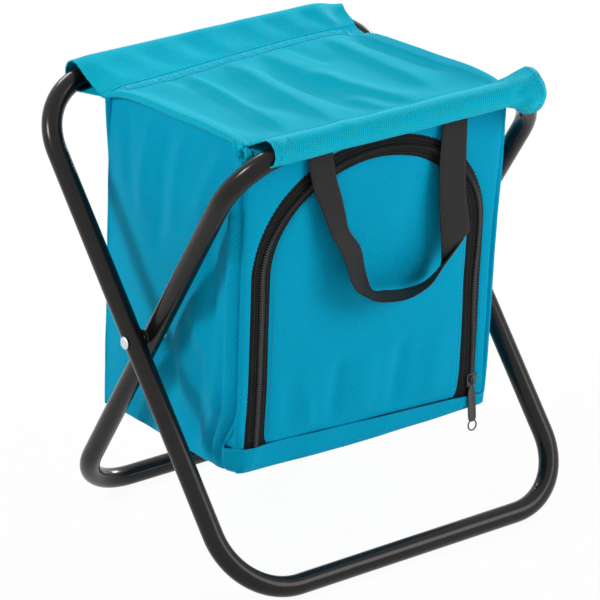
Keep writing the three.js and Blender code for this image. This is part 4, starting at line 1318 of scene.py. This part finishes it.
class STOOL_OT_zip(StoolPiece, Operator):
    """Zip tapes, teeth, slider and pull"""
    bl_idname = "stool.zip"
    bl_label = "Zip"

    def execute(self, context):
        s = sizes()
        steps = (ZIP_LEGS, ZIP_TURNS)
        top = s.arch_base + s.arch_rise
        chain = arch_line(s, -s.zip_half - 4.6, s.zip_half, top, 17.0, 6.0, *steps)
        leg = chain[-ZIP_LEGS:]
        leg[:, 0] -= 2.0 * smooth((150 - leg[:, 1]) / 50) * smooth((leg[:, 1] - 40) / 50)
        wall_edge = arch_line(s, OPENING[0] - 3, OPENING[1] + 3, OPENING[2] + 3, 16.0, 3.0, *steps)
        door_edge = arch_line(s, DOOR[0] + 3, DOOR[1] - 3, DOOR[2] - 3, 16.0, 7.0, *steps)
        rows = (("outer", wall_edge, "bag_front", 1), ("inner", door_edge, "door", -1))
        for name, edge, body, side in rows:
            self.tape(s, name, chain, edge, body, side)
            self.teeth(s, name, chain, body, side)
        dress_node("zip_slider", "slider", 0.35)
        self.pull()
        return {"FINISHED"}

    def pull(self):
        """Tab with a small eye on the slider's bail and a ring at its free end"""
        low, high = (np.array(c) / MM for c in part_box("zip_pull"))
        x = (low[0] + high[0]) / 2
        top = np.array([x, high[1] - 2.9, high[2] - 1.2])
        down = unit(np.array([0.0, -0.01, -1.0]))
        wide = np.array([1.0, 0.0, 0.0])
        out = np.cross(down, wide)
        turn = circle(36)
        pieces = []
        for name, drop, r, bar, flat in PULL_RINGS:
            middle = top + down * drop
            path = middle + r * (turn[:, :1] * wide + 1.08 * turn[:, 1:] * down)
            ring = circle(12) * (bar, bar * flat)
            facing = np.broadcast_to(out, path.shape)
            pieces.append(sweep_piece(
                "zip_pull_" + name, path, unit(path - middle), facing, ring, "slider", loop=True))
        path = top + TAB_DROPS[:, None] * down
        profile = TAB_OUTLINE * stack(TAB_HALVES, 1.0)[:, None]
        side, facing = np.broadcast_to(wide, path.shape), np.broadcast_to(out, path.shape)
        pieces.append(sweep_piece("zip_pull_tab", path, side, facing, profile, "slider"))
        for piece in pieces:
            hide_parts("zip_pull")
            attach(piece, "pull")

    def tape(self, s, name, chain, edge, body, side):
        u, v, t = between(chain, edge, np.linspace(0.02, 1, 9))
        dip = 0.5 - 1.3 * t ** 0.7
        points = wall_point(s, u, v, front_swell(u, v) * ZIP_SWELL + dip)
        across = np.linalg.norm(points - points[:, :1], axis=2)
        uv = stack(lengths(points[:, 0])[:, None], across)
        made = sheet_piece(f"zip_{name}_tape", points, uv, TAPE_THICK, "tape", -side)
        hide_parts(f"zip_tape_{name}")
        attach(made, body)
        rows = []
        for number, place in enumerate((2, 4)):
            line = points[3:-3, place] + wall_out(s) * 0.1
            rows.append(stitch_row(
                f"zip_{name}_tape_stitches_{number + 1}", line, wall_out(s), "teeth", 1.5, 0.8, 0.28))
            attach(rows[-1], body)

    def teeth(self, s, name, chain, body, side):
        line = resample(chain, spacing=2.0)
        if side < 0:
            line = (line[1:] + line[:-1]) / 2
        run = unit(np.gradient(line, axis=0))
        away = np.stack([-run[:, 1], run[:, 0]], axis=-1) * side
        place = line + away * 0.85
        ahead = place + away
        out = front_swell(place[:, 0], place[:, 1]) * ZIP_SWELL + 1.1
        places = wall_point(s, place[:, 0], place[:, 1], out)
        across = wall_point(s, ahead[:, 0], ahead[:, 1], out) - places
        shape, faces = lathe_form(TOOTH_STATIONS, TOOTH_RADII, 8, 1.3)
        shape = shape * np.array([-1.0, 1.0, 1.0])
        up = np.broadcast_to(wall_out(s), places.shape)
        made = scatter_piece(f"zip_{name}_teeth", shape, faces, places, across, up, "teeth")
        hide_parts(f"zip_coil_{name}")
        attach(made, body)


def side_line(s, side, depth, v, swell):
    """Distance of a side wall from the middle"""
    y = s.bag_foot + depth - v * math.sin(s.bag_lean)
    back = depth / s.bag_depth
    plain = front_corner(side, v) * (1 - back) + rear_corner(v) * back
    top = smooth((v - 190.0) / 68.0) ** 1.5
    plain = plain + (seat_edge(s, y) - 2.8 - plain) * top
    free = smooth(from_ends(s, depth) / 26.0)
    lower = smooth((v + 4) / 60) * smooth((262 - v) / 50)
    past = depth - corner_wrap(side, v)
    roll = 4.4 * hump(past, 7.0, 4.0) * smooth((v - 30) / 40)
    crease = -4.6 * hump(past, -0.4, 2.2) if side < 0 else -2.6 * hump(past, 1.2, 1.7)
    roll = (roll + crease * smooth((v + 4) / 20)) * smooth((258 - v) / 40)
    if side < 0:
        pleats = 4.0 * hump(past, 7, 3.6) - 2.6 * hump(past, 15, 4.0) + 2.2 * hump(past, 24, 4.5)
        roll = roll + pleats * smooth((72 - v) / 30) * smooth((v + 6) / 16)
    return plain + (2.0 * lower + swell * smooth((264 - v) / 30)) * free + roll


SIDE_FOLDS = [
    (104, 262, 112, 150, 8, -2.8), (128, 262, 134, 170, 8, 2.4), (84, 262, 92, 170, 8, 2.2),
    (62, 130, 24, 40, 10, 3.6), (112, 110, 60, 10, 10, -3.2), (44, 96, 60, 0, 8, -3.6),
    (140, 80, 100, 0, 11, 3.0), (40, 204, 34, 100, 9, -3.4), (24, 130, 22, 30, 6, 2.8),
    (70, 120, 76, 20, 9, 2.4), (30, 262, 60, 190, 8, 2.0), (160, 262, 150, 190, 8, -2.0),
]


class STOOL_OT_side_walls(StoolPiece, Operator):
    """Left and right walls, each as a front and a back half"""
    bl_idname = "stool.side_walls"
    bl_label = "Side walls"

    def execute(self, context):
        s = sizes()
        t = np.linspace(0, 1, 89)[:, None] ** 1.35
        w = np.linspace(0, 1, 97)[None, :]
        right = [(a, b + 4, c + 6, d, wide, 0.8 * high) for a, b, c, d, wide, high in SIDE_FOLDS]
        for name, side, folds, seed in (("left", -1, SIDE_FOLDS, 51), ("right", 1, right, 52)):
            low = -3.6 + 3.0 * smooth(t)
            high = 259.0 + 4.6 * (1 - np.abs(2 * t - 1) ** 4)
            v = low + w * (high - low)
            near = corner_wrap(side, v) - 0.6
            depth = near + t * (s.bag_depth + 0.6 - near)
            swell = soft_folds(depth, v, folds) + ripple(depth, v, 80, 1.2, seed)
            x = side * side_line(s, side, depth, v, swell)
            points = bag_point(s, x, depth, v)
            made = halves(name + "_wall_cloth", points, stack(depth, v), s.cloth, "wall", name + "_wall",
                          inward=side)
        return {"FINISHED"}


class STOOL_OT_back_wall(StoolPiece, Operator):
    """Back wall"""
    bl_idname = "stool.back_wall"
    bl_label = "Back wall"

    def execute(self, context):
        s = sizes()
        v = np.linspace(-1.4, 257.0, 95)[None, :]
        u = np.linspace(-1, 1, 91)[:, None] * rear_corner(v)
        folds = [(-60, 240, -30, 120, 14, 1.5), (40, 230, 70, 110, 13, -1.4), (0, 150, 20, 40, 16, 1.3),
                 (-80, 60, -50, 6, 11, 1.5), (80, 70, 50, 8, 12, 1.4), (-10, 60, -20, 6, 10, -1.2)]
        free = smooth((rear_corner(v) - np.abs(u)) / 22) * smooth(v / 30) * smooth((262 - v) / 26)
        out = (3.2 + soft_folds(u, v, folds) + ripple(u, v, 85, 1.0, 61)) * free - 0.5
        points = bag_point(s, u, s.bag_depth + out, v)
        made = sheet_piece("back_wall_cloth", points, stack(u, v), s.cloth, "wall", inward=1.0)
        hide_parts("back_wall")
        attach(made, "bag_back")
        return {"FINISHED"}


class STOOL_OT_floor_panel(StoolPiece, Operator):
    """Bag floor, sagging between its edges"""
    bl_idname = "stool.floor_panel"
    bl_label = "Bag floor"

    def execute(self, context):
        s = sizes()
        depth = np.linspace(1.0, s.bag_depth - 1.0, 61)[:, None]
        w = np.linspace(-1, 1, 81)[None, :]
        back = depth / s.bag_depth
        half = np.where(w < 0, front_corner(-1, 0.0), front_corner(1, 0.0))
        half = half * (1 - back) + rear_corner(0.0) * back
        x = w * (half - 0.4)
        ends = smooth(from_ends(s, depth) / 40) * smooth((1 - np.abs(w)) / 0.4)
        front = bag_foot_line(x) * smooth(1 - depth / 70)
        fall = front - 2.0 * smooth(depth / 60) * smooth((1 - back) * 4) - 0.6 * smooth(back) - 3.0 * ends
        fall = fall + ripple(depth, x, 70, 0.8, 71) * ends
        points = bag_point(s, x, depth, fall)
        made = halves("floor_cloth", points, stack(depth, x), s.cloth, "wall", "floor_panel")
        return {"FINISHED"}


def quilted(a, b, step, high):
    """Foam pressed down along a diamond quilting"""
    first = np.abs(np.sin((a + b) * math.pi / step))
    second = np.abs(np.sin((a - b) * math.pi / step))
    return high * (np.minimum(first, second) ** 0.5 - 0.6)


PAD_THICK = 3.0
PRESSED_THICK = 2.6


class STOOL_OT_insulation(StoolPiece, Operator):
    """Foil-faced foam lining"""
    bl_idname = "stool.insulation"
    bl_label = "Insulation"

    def execute(self, context):
        s = sizes()
        self.front(s)
        self.door(s)
        self.back(s)
        self.sides(s)
        self.floor_and_lid(s)
        return {"FINISHED"}

    def pad(self, name, points, uv, node_name, body, inward):
        made = sheet_piece(name, points, uv, PAD_THICK, "foil", inward)
        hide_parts(node_name)
        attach(made, body)

    def front(self, s):
        inner = arch_line(s, -100.0, 100.0, s.arch_base + s.arch_rise + 1.0, 16.0, 16.0)
        edge = s.bag_half - 13.0
        outer = inner.copy()
        outer[:ARCH_LEGS, 0], outer[-ARCH_LEGS:, 0] = -edge, edge
        outer[ARCH_LEGS:-ARCH_LEGS] = square_top(s, edge, 243)
        u, v, t = between(inner, outer, np.linspace(0, 1, 9))
        puff = 0.7 * np.sin(t * math.pi)
        points = wall_point(s, u, v, -6.0 - puff + quilted(u, v, 26, 0.4))
        self.pad("front_lining", points, stack(u, v), "front_insulation", "bag_front", 1.0)

    def door(self, s):
        u, v = door_grid(s, (DOOR[0] + 2, DOOR[1] - 2, DOOR[2] - 2), 4.0, 41)
        rim = np.minimum(np.minimum(u - u[:, :1], u[:, -1:] - u), DOOR[2] - 2 - v)
        puff = 1.2 * smooth(rim / 16)
        points = wall_point(s, u, v, -5.6 - puff - quilted(u, v, 30, 0.6) + 0.5 * front_swell(u, v))
        self.pad("door_lining", points, stack(u, v), "door_insulation", "door", -1.0)

    def back(self, s):
        u = np.linspace(-107, 107, 61)[:, None]
        v = np.linspace(11, 244, 65)[None, :]
        free = smooth((107 - np.abs(u)) / 16) * smooth((v - 10) / 16) * smooth((246 - v) / 16)
        out = -6.0 - 1.2 * free - quilted(u, v, 30, 0.7)
        points = bag_point(s, u, s.bag_depth + out, v)
        self.pad("back_lining", points, stack(u, v), "back_insulation", "bag_back", -1.0)

    def pressed(self, s, name, points, uv, node_name, inward):
        """A thinner pad on the bag body, with a mesh of its own"""
        made = sheet_piece(name, points, uv, PRESSED_THICK, "foil", inward)
        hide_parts(node_name)
        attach(made, "bag")
        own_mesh(made)

    def sides(self, s):
        depth = np.linspace(10, s.bag_depth - 10, 51)[:, None]
        v = np.linspace(8, 246, 65)[None, :]
        free = smooth((from_ends(s, depth) - 9) / 20) * smooth((v - 7) / 16)
        for name, side in SIDES:
            x = side * (side_line(s, side, depth, v, 0.0) - 5.6 - 1.0 * free - quilted(depth, v, 30, 0.6))
            points = bag_point(s, x, depth, v)
            self.pressed(s, name + "_lining", points, stack(depth, v), name + "_insulation", -side)

    def floor_and_lid(self, s):
        x = np.linspace(-110, 110, 61)[None, :]
        depth = np.linspace(12, s.bag_depth - 12, 51)[:, None]
        free = smooth((110 - np.abs(x)) / 20) * smooth((from_ends(s, depth) - 11) / 20)
        level = 3.6 - 1.0 * free + quilted(x, depth, 30, 0.6)
        points = bag_point(s, x, depth, level)
        self.pressed(s, "floor_lining", points, stack(depth, x), "floor_insulation", 1.0)
        depth = np.linspace(14, s.bag_depth - 14, 51)[:, None]
        y = s.bag_foot + depth - 254 * math.sin(s.bag_lean)
        x = np.linspace(-1, 1, 61)[None, :] * (seat_edge(s, y) - 5)
        points = stack(x, y, seat_height(s, x, y) - 3.6 - quilted(x, depth, 30, 0.5))
        self.pressed(s, "lid_lining", points, stack(depth, x), "lid_insulation", 1.0)


# Two edges of the front handle's webbing, station by station from its left foot to its right foot
HANDLE_EDGES = [
    (-69.5, -106.8, 343.0, -46.0, -106.8, 343.0), (-68.0, -107.0, 330.0, -46.2, -107.0, 331.5),
    (-65.2, -107.8, 307.0, -43.8, -107.6, 310.0), (-61.0, -108.6, 293.5, -39.6, -107.8, 293.5),
    (-55.4, -109.0, 279.0, -36.0, -107.0, 279.0), (-51.0, -109.5, 265.8, -32.0, -105.5, 264.8),
    (-44.0, -111.5, 251.5, -20.6, -103.5, 248.0), (-40.2, -114.0, 237.2, -15.3, -101.0, 229.3),
    (-35.9, -116.5, 222.3, -9.9, -99.0, 214.4), (-27.0, -118.0, 214.6, -4.0, -97.0, 208.0),
    (-16.7, -119.0, 208.5, 6.0, -95.6, 205.6), (0.5, -119.5, 205.0, 20.4, -95.0, 202.6),
    (11.7, -119.5, 204.6, 34.4, -95.0, 201.9), (23.2, -119.3, 207.0, 44.7, -96.0, 204.0),
    (34.3, -118.0, 211.0, 52.3, -98.0, 209.4), (45.9, -116.0, 220.2, 55.2, -101.0, 214.2),
    (60.0, -111.5, 227.6, 54.0, -104.0, 216.4), (76.8, -107.6, 238.2, 51.6, -106.4, 218.6),
    (78.2, -108.2, 242.0, 51.2, -108.0, 223.5), (77.2, -108.4, 253.0, 51.0, -108.2, 240.0),
    (75.6, -108.2, 266.0, 50.2, -108.0, 261.0), (75.4, -107.8, 277.0, 50.2, -107.8, 277.0),
    (77.0, -107.2, 302.0, 52.2, -107.2, 303.0), (79.2, -106.8, 331.0, 56.6, -106.8, 332.0),
    (80.0, -106.8, 343.0, 57.4, -106.8, 343.0),
]


STRAP_COLS = 13


class STOOL_OT_handles(StoolPiece, Operator):
    """Webbing carrying handles, front and back"""
    bl_idname = "stool.handles"
    bl_label = "Handles"

    def execute(self, context):
        s = sizes()
        edges = curve_through(HANDLE_EDGES, 210)
        first, second = edges[:, :3], edges[:, 3:]
        path = (first + second) / 2
        across = unit(second - first)
        wide = np.linalg.norm(second - first, axis=1)
        face = unit(np.cross(np.gradient(path, axis=0), across))
        w = np.concatenate([np.linspace(-0.5, 0.5, STRAP_COLS), np.linspace(0.5, -0.5, STRAP_COLS)])
        thick = np.repeat([0.5, -0.5], STRAP_COLS) * s.strap_thick
        thick = thick * np.where(np.abs(w) > 0.47, 0.45, 1.0)
        profile = stack(w * wide[:, None], thick)
        for name, turned in (("front", 1.0), ("back", -1.0)):
            spin = np.array([turned, turned, 1.0])
            made = sweep_piece(name + "_strap", path * spin, across * spin, face * spin, profile, "webbing",
                               across_uv=True)
            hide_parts(name + "_handle")
            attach(made, name + "_grip")
            rows = []
            for word, side in SIDES:
                line = (path + across * side * (wide[:, None] / 2 - 2.2) - face * 0.72) * spin
                rows.append(stitch_row(
                    f"{name}_strap_{word}_selvage", line, -face * spin, "webbing", 1.6, 0.6, 0.24))
                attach(rows[-1], name + "_grip")
        return {"FINISHED"}


PIECES = (
    STOOL_OT_stage, STOOL_OT_frame_tubes, STOOL_OT_pivots, STOOL_OT_seat, STOOL_OT_rear_sleeve,
    STOOL_OT_front_sleeve, STOOL_OT_front_wall, STOOL_OT_door, STOOL_OT_zip, STOOL_OT_side_walls,
    STOOL_OT_back_wall, STOOL_OT_floor_panel, STOOL_OT_insulation, STOOL_OT_handles,
)


class STOOL_PT_pieces(Panel):
    """Lists the stool's sizes, colours and pieces"""
    bl_idname = "STOOL_PT_pieces"
    bl_label = "Folding Cooler Stool"
    bl_space_type = "VIEW_3D"
    bl_region_type = "UI"
    bl_category = "Stool"

    def draw(self, context):
        for group in (context.scene.stool_sizes, context.scene.stool_colours):
            box = self.layout.box()
            for name in type(group).__annotations__:
                box.prop(group, name)
        for piece in PIECES:
            self.layout.operator(piece.bl_idname)


CLASSES = (StoolSizes, StoolColours) + PIECES + (STOOL_PT_pieces,)


def register():
    for kind in CLASSES:
        bpy.utils.register_class(kind)
    bpy.types.Scene.stool_sizes = PointerProperty(type=StoolSizes)
    bpy.types.Scene.stool_colours = PointerProperty(type=StoolColours)


def unregister():
    del bpy.types.Scene.stool_colours
    del bpy.types.Scene.stool_sizes
    for kind in reversed(CLASSES):
        bpy.utils.unregister_class(kind)


def main():
    register()
    for piece in PIECES:
        group, name = piece.bl_idname.split(".")
        getattr(getattr(bpy.ops, group), name)()


if __name__ == "__main__":
    main()
